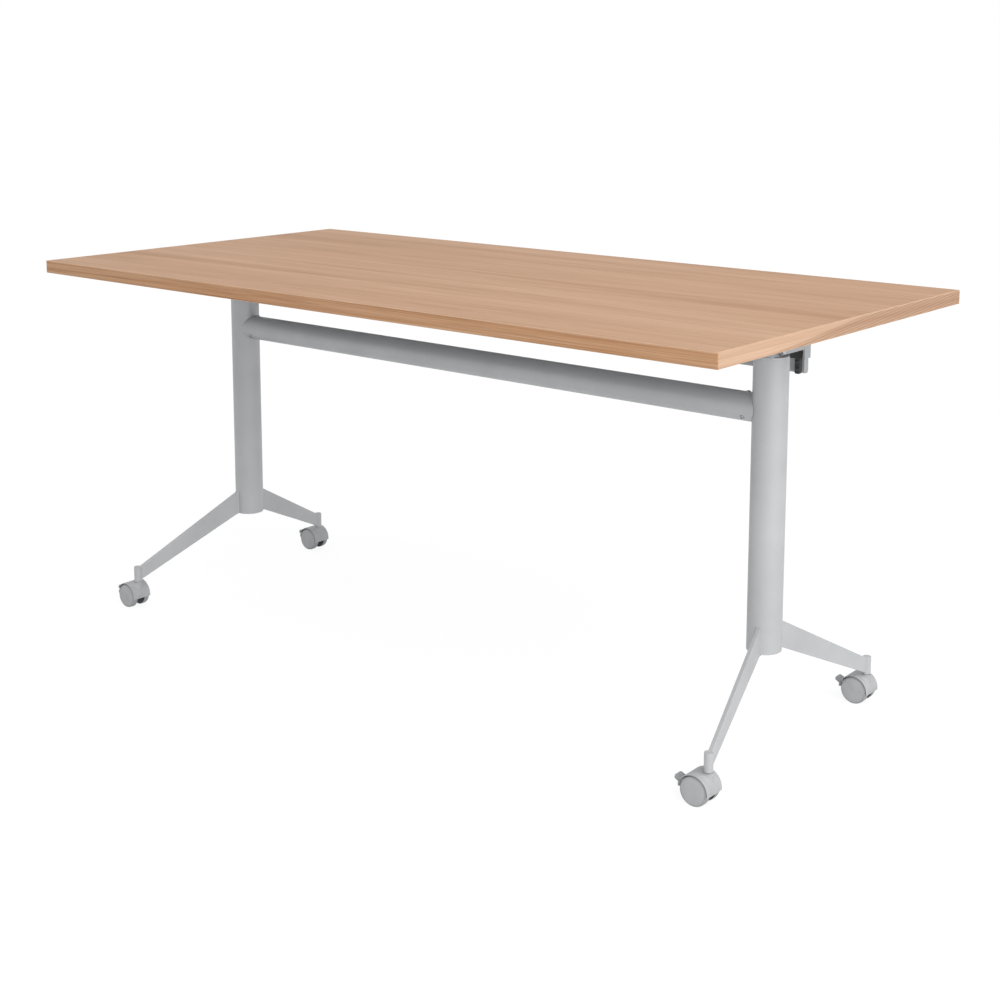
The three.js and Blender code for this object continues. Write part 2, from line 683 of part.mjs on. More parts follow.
// The neck of the hood round the stem, wider at its foot.
function castorNeck() {
  const foot = WHEEL_RADIUS + NECK_FOOT_RISE;
  const points = [
    [0, foot],
    [NECK_FOOT_RADIUS, foot],
    [NECK_WAIST_RADIUS, NECK_TOP - NECK_WAIST_DROP],
    [NECK_DIAMETER / 2, NECK_TOP - NECK_WAIST_DROP / 2],
    [NECK_DIAMETER / 2, NECK_TOP],
    [0, NECK_TOP],
  ];
  return turned(points, ROUND_SIDES).rotateX(Math.PI / 2);
}

// Hood, the web between the wheels, the neck round the stem and the pin of the brake pedal.
function castorHousing() {
  const halfWeb = WEB_WIDTH / 2;
  const angles = [HOOD_FRONT_ANGLE, HOOD_REAR_ANGLE];
  const hood = ringSector(HOOD_INNER, HOOD_OUTER, ...angles);
  const web = ringSector(0, HOOD_INNER + HOOD_WALL / 2, ...angles);
  const wheelRoom = [-1, 1].map((side) => {
    const ends = [side * halfWeb, side * CASTOR_WIDTH].sort((a, b) => a - b);
    return atAxle(bar("y", HOOD_INNER, ...ends, MIDDLE, WHEEL_SIDES));
  });
  const slot = PEDAL_ARM_WIDTH / 2 + SIDE_GAP;
  const slotFront = PEDAL_EYE_RADIUS + PEDAL_ROOM - PEDAL_PIVOT_BACK;
  const slotTop = PEDAL_PIVOT_UP + PEDAL_EYE_RADIUS + PEDAL_ROOM;
  const axleBore = AXLE_DIAMETER / 2 + FIT_GAP;
  const stemBore = STEM_DIAMETER / 2 + FIT_GAP;
  const acrossWeb = halfWeb + OVERRUN;
  const neck = cut(solid(castorNeck()), ...wheelRoom);
  const shell = join(
    atAxle(plateAlongY(hood, -HOOD_HALF, HOOD_HALF, ARC_STEPS)),
    atAxle(plateAlongY(web, -halfWeb, halfWeb, ARC_STEPS)),
    atAxle(bar("y", AXLE_HUB / 2, -halfWeb, halfWeb)),
    neck,
  );
  const slotted = cut(
    shell,
    atAxle(box(-HOOD_INNER, slotFront, -slot, slot, -WHEEL_RADIUS, slotTop)),
    atAxle(bar("y", axleBore, -acrossWeb, acrossWeb, MIDDLE, SMALL_SIDES)),
    bar("z", stemBore, STEM_BOTTOM - FIT_GAP, NECK_TOP + OVERRUN, MIDDLE, SMALL_SIDES),
  );
  const pinPlace = [-PEDAL_PIVOT_BACK, 0, PEDAL_PIVOT_UP];
  const pinHalf = halfWeb - OVERRUN;
  const pin = bar("y", PEDAL_PIN_DIAMETER / 2, -pinHalf, pinHalf, pinPlace, SMALL_SIDES);
  return geometryOf(join(slotted, atAxle(pin)));
}

function castorAxle() {
  return atAxle(bar("y", AXLE_DIAMETER / 2, -AXLE_HALF, AXLE_HALF, MIDDLE, SMALL_SIDES));
}

// Wheel on the +Y side: tread under the hood, and a dished face that closes the end of the axle.
function castorWheel() {
  const face = CASTOR_WIDTH / 2;
  const bore = AXLE_DIAMETER / 2 + FIT_GAP;
  const boreEnd = AXLE_HALF + FIT_GAP;
  const chamfered = WHEEL_RADIUS - WHEEL_CHAMFER;
  const points = [
    [0, boreEnd],
    [bore, boreEnd],
    [bore, WHEEL_INNER_FACE],
    [chamfered, WHEEL_INNER_FACE],
    [WHEEL_RADIUS, WHEEL_INNER_FACE + WHEEL_CHAMFER],
    [WHEEL_RADIUS, face - WHEEL_CHAMFER],
    [chamfered, face],
    [WHEEL_RADIUS / 2, face - WHEEL_DISH],
    [0, face - WHEEL_DISH],
  ];
  return atAxle(turned(points, WHEEL_SIDES));
}

// Brake pedal: an eye on its pin, an arm in the slot, a shoe across both treads and a foot tab.
function brakePedal() {
  const eye = [-PEDAL_PIVOT_BACK, 0, PEDAL_PIVOT_UP];
  const shoeNear = -WHEEL_RADIUS - SHOE_GAP;
  const shoeFar = shoeNear - SHOE_DEPTH;
  const inShoe = shoeFar + SHOE_DEPTH / 2;
  const arm = outline([
    [-PEDAL_PIVOT_BACK, PEDAL_PIVOT_UP - PEDAL_EYE_RADIUS],
    [inShoe, 0],
    [inShoe, PEDAL_ARM_DEPTH],
    [-PEDAL_PIVOT_BACK, PEDAL_PIVOT_UP + PEDAL_EYE_RADIUS / 2],
  ]);
  const shoe = outline([
    [shoeNear - SHOE_SLANT, 0],
    [shoeNear, PEDAL_ARM_DEPTH],
    [shoeFar, PEDAL_ARM_DEPTH],
    [shoeFar, 0],
  ]);
  const tab = outline([
    [inShoe, 0],
    [inShoe, PEDAL_ARM_DEPTH],
    [-PEDAL_TAB_REACH + PEDAL_THICKNESS / 4, PEDAL_TAB_RISE],
    [-PEDAL_TAB_REACH, PEDAL_TAB_RISE - PEDAL_THICKNESS],
  ]);
  const halfArm = PEDAL_ARM_WIDTH / 2;
  const halfTab = PEDAL_TAB_WIDTH / 2;
  const halfShoe = SHOE_WIDTH / 2;
  const body = join(
    atAxle(plateAlongY(arm, -halfArm, halfArm)),
    atAxle(plateAlongY(shoe, -halfShoe, halfShoe)),
    atAxle(plateAlongY(tab, -halfTab, halfTab)),
    atAxle(bar("y", PEDAL_EYE_RADIUS, -halfArm, halfArm, eye, SMALL_SIDES)),
  );
  const bore = PEDAL_PIN_DIAMETER / 2 + FIT_GAP;
  const across = halfArm + OVERRUN;
  return cut(body, atAxle(bar("y", bore, -across, across, eye, SMALL_SIDES)));
}

function castor(place) {
  const group = new THREE.Group();
  const wheel = castorWheel();
  const otherWheel = piece(`castor_${place}_wheel_front`, wheel, GREY_PLASTIC);
  otherWheel.rotation.z = Math.PI;
  otherWheel.position.x = -2 * CASTOR_TRAIL;
  group.add(
    piece(`castor_${place}_stem`, castorStem(), BRIGHT_STEEL),
    piece(`castor_${place}_housing`, castorHousing(), GREY_PLASTIC),
    piece(`castor_${place}_axle`, castorAxle(), BRIGHT_STEEL),
    piece(`castor_${place}_wheel_back`, wheel, GREY_PLASTIC),
    otherWheel,
    piece(`castor_${place}_brake`, brakePedal(), GREY_PLASTIC),
  );
  return group;
}

// One leg with its hinge, lock and castors. Side is -1 for the left and 1 for the right.
function leg(side) {
  const name = side < 0 ? "left" : "right";
  const group = new THREE.Group();
  group.position.x = side * LEG_X;
  const pin = piece(`hinge_pin_${name}`, hingePin(), BRIGHT_STEEL);
  const spigot = piece(`beam_spigot_${name}`, beamSpigot(), SILVER_PAINT);
  if (side < 0) pin.rotation.z = Math.PI;
  if (side > 0) spigot.rotation.z = Math.PI;
  group.add(
    piece(`column_${name}`, columnTube(), SILVER_PAINT),
    piece(`column_plug_${name}`, columnPlug(), GREY_PLASTIC),
    piece(`pivot_head_${name}`, pivotHead(), CAST_ALUMINIUM),
    piece(`pivot_bush_${name}`, pivotBush(), BUSH_PLASTIC),
    piece(`top_bracket_${name}`, topBracket(), SILVER_PAINT),
    piece(`lock_bolt_${name}`, lockBolt(), BRIGHT_STEEL),
    piece(`lock_spring_${name}`, lockSpring(), BRIGHT_STEEL),
    piece(`lever_pin_${name}`, leverPin(), BRIGHT_STEEL),
    piece(`release_lever_${name}`, releaseLever(), BLACK_PLASTIC),
    pin,
    spigot,
  );
  for (const [across, end] of [
    [-1, "front"],
    [1, "back"],
  ]) {
    const arm = piece(`foot_${end}_${name}`, foot(), SILVER_PAINT);
    arm.rotation.z = Math.atan2(across * FOOT_SPREAD, side * FOOT_SPLAY);
    const wheels = castor(`${end}_${name}`);
    wheels.position.set(side * FOOT_SPLAY, across * FOOT_SPREAD, 0);
    group.add(arm, wheels);
  }
  return group;
}

const table = new THREE.Group();
const leftCap = piece("release_bar_cap_left", barCap(), GREY_PLASTIC);
leftCap.scale.x = -1;
table.add(
  topBoard(),
  leg(-1),
  leg(1),
  piece("beam", beamTube(), SILVER_PAINT),
  piece("release_bar", releaseBar(), SILVER_PAINT),
  piece("release_bar_cap_right", barCap(), GREY_PLASTIC),
  leftCap,
);

export default table;
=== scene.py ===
# %% [markdown]
# # A flip top training table
# A wood-grain board stands on two column legs with splayed feet and braked twin-wheel castors.
# The board tips up about two hinges, and a bar under it draws the two lock bolts.
# The solids that carry, join and move the table are modelled already, at their real size. This
# lesson loads them as a fixed frame and works on what the eye meets: finer forms for the pieces
# that show, a finish for each surface, the light and the camera. Everything is in metres.

# %% Load the frame and keep its box
import math

import bmesh
import bpy
from mathutils import Matrix, Vector


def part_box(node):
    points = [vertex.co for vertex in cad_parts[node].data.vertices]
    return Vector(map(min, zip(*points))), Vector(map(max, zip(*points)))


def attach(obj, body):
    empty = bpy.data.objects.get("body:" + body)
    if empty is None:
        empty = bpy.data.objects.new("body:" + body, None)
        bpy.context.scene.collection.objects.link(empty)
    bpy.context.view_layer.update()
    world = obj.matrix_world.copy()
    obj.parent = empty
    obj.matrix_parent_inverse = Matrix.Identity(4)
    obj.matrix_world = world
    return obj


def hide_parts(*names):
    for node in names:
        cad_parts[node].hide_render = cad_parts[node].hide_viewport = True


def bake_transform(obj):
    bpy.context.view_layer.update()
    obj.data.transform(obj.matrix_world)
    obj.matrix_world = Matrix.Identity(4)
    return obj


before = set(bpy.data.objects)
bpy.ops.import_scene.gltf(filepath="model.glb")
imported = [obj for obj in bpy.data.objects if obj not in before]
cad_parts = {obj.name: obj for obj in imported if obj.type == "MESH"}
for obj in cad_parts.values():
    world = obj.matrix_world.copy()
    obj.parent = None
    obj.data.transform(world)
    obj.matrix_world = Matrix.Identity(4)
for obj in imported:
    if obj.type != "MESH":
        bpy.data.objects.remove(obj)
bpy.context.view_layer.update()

# %% [markdown]
# ## Camera
# The photograph shows the table from its front right corner, a little above the top. The lens
# and the place were solved from the corners of the board and the four castors. A lens shift keeps
# the columns nearly upright, as a view camera does, while the camera itself looks down a little.

# %% Place the camera
CAMERA_PLACE = (1.974, -2.282, 1.157)
CAMERA_TURN = math.radians(40.06)  # to the left of straight back
CAMERA_DIP = math.radians(8.61)  # below the horizon
CAMERA_SENSOR = 36.0  # width in millimetres, as the lens is
CAMERA_LENS = 57.5
CAMERA_SHIFT = (0.0058, -0.20)

camera = bpy.data.objects.new("camera", bpy.data.cameras.new("camera"))
camera.location = CAMERA_PLACE
camera.rotation_euler = (math.radians(90) - CAMERA_DIP, 0, CAMERA_TURN)
camera.data.sensor_width = CAMERA_SENSOR
camera.data.lens = CAMERA_LENS
camera.data.shift_x, camera.data.shift_y = CAMERA_SHIFT
bpy.context.scene.collection.objects.link(camera)
bpy.context.scene.camera = camera
print("camera at", CAMERA_PLACE)

# %% [markdown]
# ## Studio
# The table stands on a white sweep. One way to get a white ground is to flood it with light, but
# then the table would be overlit too. Here the floor and the sky are white only for rays that
# look straight at them or see them mirrored. For all other rays the sky is a plain soft light and
# the floor a pale matt surface that throws light up under the board. The main lamp is a broad round
# window at the front right. It stands near, so the far leg gets less of its light than the near one.

# %% Sky, floor and lamps
WHITE = (1, 1, 1, 1)
SKY_LIGHT = 0.50
FLOOR_TONE = 0.72
FLOOR_HALF = 40.0
SHADOW_SHARE = 0.25  # how much of the floor's own shading the camera sees
FLOOR_GLOW = 1.19  # with that share of shading, brings the open floor to plain white
WINDOW_POWER = 130.0
WINDOW_DISTANCE = 4.5
WINDOW_RADIUS = 2.6
WINDOW_AIM = Vector((0, 0, 0.4))
WINDOW_WAY = (22, 30)  # azimuth from +X towards -Y and height, in degrees
CEILING_STRENGTH = 0.40
CEILING_SOFTNESS = math.radians(90)
CEILING_WAY = (60, 75)


def looked_at(tree):
    """One for camera, glossy and transmission rays, zero for the light that bounces."""
    path = tree.nodes.new("ShaderNodeLightPath")
    outlets = [path.outputs[f"Is {kind} Ray"] for kind in ("Camera", "Glossy", "Transmission")]
    found = outlets[0]
    for outlet in outlets[1:]:
        either = tree.nodes.new("ShaderNodeMath")
        either.operation = "MAXIMUM"
        tree.links.new(found, either.inputs[0])
        tree.links.new(outlet, either.inputs[1])
        found = either.outputs[0]
    return found


def mixed(tree, share, first, second, outlet):
    """Sends a mix of two shaders to the outlet of the tree."""
    mix = tree.nodes.new("ShaderNodeMixShader")
    tree.links.new(share, mix.inputs[0])
    tree.links.new(first.outputs[0], mix.inputs[1])
    tree.links.new(second.outputs[0], mix.inputs[2])
    tree.links.new(mix.outputs[0], tree.nodes[outlet].inputs["Surface"])


def white_sky():
    world = bpy.data.worlds.new("studio")
    world.use_nodes = True
    tree = world.node_tree
    light = tree.nodes["Background"]
    light.inputs["Color"].default_value = WHITE
    light.inputs["Strength"].default_value = SKY_LIGHT
    white = tree.nodes.new("ShaderNodeBackground")
    white.inputs["Color"].default_value = WHITE
    mixed(tree, looked_at(tree), light, white, "World Output")
    bpy.context.scene.world = world


def white_floor():
    sweep = bmesh.new()
    bmesh.ops.create_grid(sweep, x_segments=1, y_segments=1, size=FLOOR_HALF)
    mesh = bpy.data.meshes.new("floor")
    sweep.to_mesh(mesh)
    sweep.free()
    paper = bpy.data.materials.new("paper_sweep")
    paper.use_nodes = True
    tree = paper.node_tree
    tree.nodes.remove(tree.nodes["Principled BSDF"])
    matt = tree.nodes.new("ShaderNodeBsdfDiffuse")
    matt.inputs["Color"].default_value = (FLOOR_TONE, FLOOR_TONE, FLOOR_TONE, 1)
    glow = tree.nodes.new("ShaderNodeEmission")
    glow.inputs["Strength"].default_value = FLOOR_GLOW
    share = tree.nodes.new("ShaderNodeMath")
    share.operation = "MULTIPLY"
    share.inputs[1].default_value = 1 - SHADOW_SHARE
    tree.links.new(looked_at(tree), share.inputs[0])
    mixed(tree, share.outputs[0], matt, glow, "Material Output")
    mesh.materials.append(paper)
    floor = bpy.data.objects.new("floor", mesh)
    bpy.context.scene.collection.objects.link(floor)


def way_to(azimuth, height):
    """The direction to a lamp that stands at an azimuth and a height."""
    turn, rise = math.radians(azimuth), math.radians(height)
    level = math.cos(rise)
    return Vector((level * math.cos(turn), -level * math.sin(turn), math.sin(rise)))


def add_lamp(name, kind, energy, way):
    lamp = bpy.data.objects.new(name, bpy.data.lights.new(name, kind))
    lamp.data.energy = energy
    lamp.rotation_euler = way.to_track_quat("Z", "Y").to_euler()
    bpy.context.scene.collection.objects.link(lamp)
    return lamp


def window_light():
    way = way_to(*WINDOW_WAY)
    lamp = add_lamp("window_light", "AREA", WINDOW_POWER, way)
    lamp.data.shape = "DISK"
    lamp.data.size = 2 * WINDOW_RADIUS
    lamp.location = WINDOW_AIM + way * WINDOW_DISTANCE
    lamp.visible_camera = False


def ceiling_light():
    lamp = add_lamp("ceiling_light", "SUN", CEILING_STRENGTH, way_to(*CEILING_WAY))
    lamp.data.angle = CEILING_SOFTNESS


white_sky()
white_floor()
window_light()
ceiling_light()
bpy.context.scene.view_settings.view_transform = "Standard"
print("studio: sky", SKY_LIGHT, "with", len(bpy.data.lights), "lamps")

# %% [markdown]
# ## How a finish is made
# Every finish starts from the same shader. Its colour comes from a few noise patterns that are
# stretched to the size of the real grain, and they read object coordinates, so the pattern sits
# on the piece wherever it moves. These helpers keep each finish below to a few lines.

# %% Helpers for finishes
MM = 0.001
RELIEF_STRENGTH = 0.6
finishes = {}


def tone(red, green, blue):
    """A colour as a paint chart gives it, from 0 to 255, in the shader's linear scale."""
    shares = [value / 255 for value in (red, green, blue)]
    return (*[s / 12.92 if s <= 0.04045 else ((s + 0.055) / 1.055) ** 2.4 for s in shares], 1)


def new_finish(name, roughness, metallic=0.0):
    finish = bpy.data.materials.new(name)
    finish.use_nodes = True
    shader = finish.node_tree.nodes["Principled BSDF"]
    shader.inputs["Roughness"].default_value = roughness
    shader.inputs["Metallic"].default_value = metallic
    finishes[name] = finish
    return finish.node_tree, shader


def stretched(tree, per_metre, move=(0, 0, 0)):
    """Object coordinates with so many pattern units to the metre along X, Y and Z."""
    place = tree.nodes.new("ShaderNodeTexCoord")
    mapping = tree.nodes.new("ShaderNodeMapping")
    mapping.inputs["Scale"].default_value = per_metre
    mapping.inputs["Location"].default_value = move
    tree.links.new(place.outputs["Object"], mapping.inputs["Vector"])
    return mapping.outputs["Vector"]


def clouds(tree, per_metre, detail, harshness=0.5, swirl=0.0, move=(0, 0, 0)):
    """Soft noise, with so many clouds to the metre along X, Y and Z."""
    noise = tree.nodes.new("ShaderNodeTexNoise")
    noise.inputs["Scale"].default_value = 1.0
    noise.inputs["Detail"].default_value = detail
    noise.inputs["Roughness"].default_value = harshness
    noise.inputs["Distortion"].default_value = swirl
    tree.links.new(stretched(tree, per_metre, move), noise.inputs["Vector"])
    return noise.outputs["Fac"]


def ramp(tree, factor, *stops):
    """Colours at places along the factor, each stop as (place, colour)."""
    node = tree.nodes.new("ShaderNodeValToRGB")
    marks = node.color_ramp.elements
    while len(marks) < len(stops):
        marks.new(0.5)
    for mark, (place, colour) in zip(marks, stops):
        mark.position = place
        mark.color = colour
    tree.links.new(factor, node.inputs["Fac"])
    return node.outputs["Color"]


def darkened(tree, colour, layer, share):
    """Multiplies a colour by a layer. The share is a number or another node's outlet."""
    mix = tree.nodes.new("ShaderNodeMix")
    mix.data_type = "RGBA"
    mix.blend_type = "MULTIPLY"
    if isinstance(share, float):
        mix.inputs["Factor"].default_value = share
    else:
        tree.links.new(share, mix.inputs["Factor"])
    tree.links.new(colour, mix.inputs["A"])
    tree.links.new(layer, mix.inputs["B"])
    return mix.outputs["Result"]


def streaked(tree, colour, pattern, dark, low, high, share):
    """Darkens a colour where a pattern is low: wholly up to one value, then less up to another."""
    layer = ramp(tree, pattern, (low, tone(*dark)), (high, WHITE))
    return darkened(tree, colour, layer, share)


def surfaced(tree, shader, colour, grain, gloss, depth):
    """Gives the shader its colour. The grain varies the roughness between two values and raises
    the surface to a depth in metres."""
    span = tree.nodes.new("ShaderNodeMapRange")
    span.inputs["To Min"].default_value, span.inputs["To Max"].default_value = gloss
    tree.links.new(grain, span.inputs["Value"])
    bump = tree.nodes.new("ShaderNodeBump")
    bump.inputs["Strength"].default_value = RELIEF_STRENGTH
    bump.inputs["Distance"].default_value = depth
    tree.links.new(grain, bump.inputs["Height"])
    tree.links.new(colour, shader.inputs["Base Color"])
    tree.links.new(span.outputs["Result"], shader.inputs["Roughness"])
    tree.links.new(bump.outputs["Normal"], shader.inputs["Normal"])


print("helpers for finishes ready")

# %% [markdown]
# ## Wood grain
# The board is faced with a printed laminate: broad soft bands along its length, finer fibres in
# them and short dark pores. A picture of wood would repeat and would need a file, so the grain is
# built from noise, squeezed across the board and drawn out along it. The strips on the long edges
# are deeper in colour. Those on the short edges are lighter and carry slanting growth rings.

# %% Laminate and edge strips


def laminate():
    tree, shader = new_finish("wood_face", roughness=0.55)
    shader.inputs["Specular IOR Level"].default_value = 0.12
    bands = clouds(tree, (0.55, 9.0, 9.0), detail=4.0, harshness=0.55, swirl=0.6)
    colour = ramp(
        tree,
        bands,
        (0.30, tone(194, 152, 120)),
        (0.50, tone(207, 167, 136)),
        (0.72, tone(218, 181, 151)),
    )
    flames = clouds(tree, (1.6, 38.0, 38.0), detail=3.0, swirl=1.2, move=(3, 7, 1))
    colour = streaked(tree, colour, flames, (238, 232, 226), low=0.36, high=0.52, share=0.6)
    fibres = clouds(tree, (5.0, 330.0, 330.0), detail=5.0, harshness=0.62)
    colour = streaked(tree, colour, fibres, (236, 228, 220), low=0.32, high=0.60, share=0.8)
    pores = clouds(tree, (34.0, 900.0, 900.0), detail=2.0, move=(1, 2, 3))
    colour = streaked(tree, colour, pores, (205, 186, 170), low=0.27, high=0.36, share=0.7)
    surfaced(tree, shader, colour, fibres, gloss=(0.50, 0.62), depth=0.06 * MM)


def long_edge_strip():
    tree, shader = new_finish("wood_edge", roughness=0.48)
    streaks = clouds(tree, (1.4, 60.0, 150.0), detail=5.0, harshness=0.6, swirl=0.8)
    colour = ramp(
        tree,
        streaks,
        (0.30, tone(184, 132, 89)),
        (0.50, tone(206, 158, 117)),
        (0.70, tone(222, 182, 148)),
    )
    lines = clouds(tree, (2.6, 60.0, 420.0), detail=3.0, harshness=0.55, swirl=0.9, move=(2, 0, 4))
    colour = streaked(tree, colour, lines, (216, 197, 177), low=0.36, high=0.50, share=0.8)
    fibres = clouds(tree, (6.0, 500.0, 700.0), detail=4.0, harshness=0.6)
    colour = streaked(tree, colour, fibres, (226, 214, 202), low=0.30, high=0.58, share=0.7)
    surfaced(tree, shader, colour, fibres, gloss=(0.42, 0.54), depth=0.05 * MM)


RING_RISE = 0.08  # how far a growth ring climbs for each metre along the edge
RING_SCALE = 70.0
RING_WAVER = 1.6
RING_DETAIL = 2.0
RING_DETAIL_SCALE = 0.7
RING_STRETCH = 0.05  # rings waver slowly along the edge
PLAIN_ABOVE, RINGS_BELOW = 0.7490, 0.7415  # heights on the slant between which the rings fade
RINGS_FAINT, RINGS_CLEAR = 0.12, 0.85


def sheared(tree, rise):
    """Object coordinates whose height falls along Y, so that level bands climb."""
    place = tree.nodes.new("ShaderNodeSeparateXYZ")
    tree.links.new(stretched(tree, (1, 1, 1)), place.inputs[0])
    climb = tree.nodes.new("ShaderNodeMath")
    climb.operation = "MULTIPLY_ADD"
    climb.inputs[1].default_value = -rise
    tree.links.new(place.outputs["Y"], climb.inputs[0])
    tree.links.new(place.outputs["Z"], climb.inputs[2])
    slow = tree.nodes.new("ShaderNodeMath")
    slow.operation = "MULTIPLY"
    slow.inputs[1].default_value = RING_STRETCH
    tree.links.new(place.outputs["Y"], slow.inputs[0])
    vector = tree.nodes.new("ShaderNodeCombineXYZ")
    tree.links.new(slow.outputs[0], vector.inputs["Y"])
    tree.links.new(climb.outputs[0], vector.inputs["Z"])
    return vector.outputs["Vector"]


def growth_rings(tree, slant):
    rings = tree.nodes.new("ShaderNodeTexWave")
    rings.wave_type = "BANDS"
    rings.bands_direction = "Z"
    rings.inputs["Scale"].default_value = RING_SCALE
    rings.inputs["Distortion"].default_value = RING_WAVER
    rings.inputs["Detail"].default_value = RING_DETAIL
    rings.inputs["Detail Scale"].default_value = RING_DETAIL_SCALE
    tree.links.new(slant, rings.inputs["Vector"])
    return rings.outputs["Fac"]


def clearer_below(tree, slant):
    """How clear the rings are: faint at the upper end of the slant, clear at the lower end."""
    place = tree.nodes.new("ShaderNodeSeparateXYZ")
    tree.links.new(slant, place.inputs[0])
    growing = tree.nodes.new("ShaderNodeMapRange")
    growing.inputs["From Min"].default_value = PLAIN_ABOVE
    growing.inputs["From Max"].default_value = RINGS_BELOW
    growing.inputs["To Min"].default_value = RINGS_FAINT
    growing.inputs["To Max"].default_value = RINGS_CLEAR
    tree.links.new(place.outputs["Z"], growing.inputs["Value"])
    return growing.outputs["Result"]


def short_edge_strip():
    tree, shader = new_finish("wood_end_edge", roughness=0.48)
    streaks = clouds(tree, (60.0, 1.3, 110.0), detail=4.0, swirl=0.5, move=(0, 5, 0))
    colour = ramp(
        tree,
        streaks,
        (0.32, tone(205, 165, 135)),
        (0.50, tone(214, 176, 146)),
        (0.70, tone(220, 184, 155)),
    )
    slant = sheared(tree, RING_RISE)
    rings = growth_rings(tree, slant)
    clear = clearer_below(tree, slant)
    colour = streaked(tree, colour, rings, (216, 200, 186), low=0.02, high=0.34, share=clear)
    deeper = ramp(tree, clear, (RINGS_FAINT, WHITE), (RINGS_CLEAR, tone(230, 224, 218)))
    colour = darkened(tree, colour, deeper, share=1.0)
    fibres = clouds(tree, (500.0, 6.0, 700.0), detail=4.0, harshness=0.6)
    colour = streaked(tree, colour, fibres, (234, 226, 218), low=0.30, high=0.58, share=0.7)
    surfaced(tree, shader, colour, fibres, gloss=(0.42, 0.54), depth=0.05 * MM)


laminate()
long_edge_strip()
short_edge_strip()
print("wood finishes:", [name for name in finishes if name.startswith("wood")])

# %% [markdown]
# ## Paint, metal and plastic
# The legs and the cast hinge heads are powder coated in silver grey: the coat flows into a very
# fine orange peel and its flakes make the tone waver. Zinc-plated pins and bolts are brighter and
# mottled, and the castors, caps and levers are moulded with a fine spark-eroded grain. One function
# makes all of these, because they differ only in tone, gloss and the size of the grain.

# %% Paint, metal and plastic
PAINT = {"grain": 1500.0, "depth": 0.03 * MM, "cloud": 9.0}
PLATED = {"grain": 900.0, "depth": 0.02 * MM, "cloud": 60.0}
MOULDED = {"grain": 1600.0, "depth": 0.04 * MM, "cloud": 50.0}
MATTER, GLOSSIER = 0.06, 0.05  # how far the roughness wavers up and down


def grained(name, dark, light, roughness, grain, depth, cloud, metallic=0.0):
    """A tone that wavers between two colours in so many clouds per metre, with a fine grain."""
    tree, shader = new_finish(name, roughness, metallic)
    drift = clouds(tree, (cloud, cloud, cloud), detail=3.0)
    colour = ramp(tree, drift, (0.30, tone(*dark)), (0.70, tone(*light)))
    specks = clouds(tree, (grain, grain, grain), detail=2.0, harshness=0.6)
    colour = streaked(tree, colour, specks, (238, 238, 238), low=0.30, high=0.62, share=0.8)
    surfaced(tree, shader, colour, specks, (roughness - GLOSSIER, roughness + MATTER), depth)


grained("silver_paint", (191, 193, 195), (201, 203, 205), 0.46, metallic=0.20, **PAINT)
grained("bracket_paint", (186, 188, 190), (198, 200, 202), 0.46, metallic=0.22, **PAINT)
grained("bright_steel", (176, 178, 180), (206, 207, 208), 0.28, metallic=1.0, **PLATED)
grained("beam_screws", (156, 157, 159), (178, 179, 181), 0.18, metallic=1.0, **PLATED)
grained("dark_screws", (70, 71, 73), (96, 97, 99), 0.34, metallic=0.8, **PLATED)
grained("cast_aluminium", (158, 160, 162), (178, 180, 182), 0.50, 700.0, 0.08 * MM, 45.0, 0.65)
grained("bush_plastic", (216, 210, 192), (224, 219, 203), 0.52, 1200.0, 0.02 * MM, 40.0)
grained("black_plastic", (54, 54, 55), (66, 66, 67), 0.48, 1300.0, 0.05 * MM, 50.0)
grained("grey_plastic", (184, 186, 188), (196, 197, 199), 0.50, **MOULDED)
grained("wheel_plastic", (184, 186, 188), (197, 198, 200), 0.52, **MOULDED)
grained("pedal_plastic", (160, 162, 164), (176, 178, 180), 0.52, **MOULDED)
# A dark grey for the castor's web, hub and inner sides: painted shade between the wheels.
grained("core_plastic", (58, 59, 60), (70, 71, 72), 0.55, **MOULDED)
# The tyre is a little darker than the cap, and the darkening is partly painted shade for the gap under
# the hood.
grained("tyre_rubber_and_painted_shade", (168, 170, 172), (180, 182, 184), 0.62, **MOULDED)
grained("backing_sheet", (168, 169, 170), (178, 179, 180), 0.60, 1100.0, 0.03 * MM, 6.0)
# A paler wood for the rounded corners of the edge strips: a painted highlight.
grained("painted_highlight_corner", (210, 170, 136), (222, 184, 151), 0.46, 900.0, 0.02 * MM, 20.0)
print("finishes:", len(finishes))

# %% [markdown]
# The frame's own pieces carry a material named for their slot. Swapping that for the finish of
# the same name dresses every solid at once. Those that need a finer form are replaced later.

# %% Dress the frame
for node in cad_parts.values():
    node.data.materials[0] = finishes[node.data.materials[0].name.split(".")[0]]
print("dressed", len(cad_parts), "solids")

# %% [markdown]
# ## From a bmesh to a piece
# Each new piece is shaped in a bmesh and then handed to the frame: it rides on a body, names its
# finish and may stand for a solid of the frame. Real edges are never razor sharp, so edges are
# rounded by a bevel. A weighted normal modifier keeps the flat faces between them flat to the eye.

# %% Helpers for pieces
MERGE = 0.01 * MM  # points closer than this become one
EDGE_ANGLE = math.radians(28)
SHADE_ANGLE = math.radians(42)
FLAT_ANGLE = math.radians(0.5)
FACING = 0.5  # a face looks along an axis if its normal has more than this of it


def middle_of(node):
    low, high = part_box(node)
    return (low + high) / 2


def half_size(node):
    low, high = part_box(node)
    return (high - low) / 2


def rounded(bm, edges, radius, steps=2):
    """Rounds edges to a radius. Returns the new faces."""
    return bmesh.ops.bevel(
        bm,
        geom=edges,
        offset=radius,
        segments=steps,
        profile=0.5,
        affect="EDGES",
        clamp_overlap=True,
        material=-1,
    )["faces"]


def eased(bm, radius, steps=2):
    """Rounds every edge that turns by more than the edge angle."""
    sharp = [e for e in bm.edges if e.is_manifold and e.calc_face_angle() > EDGE_ANGLE]
    rounded(bm, sharp, radius, steps)


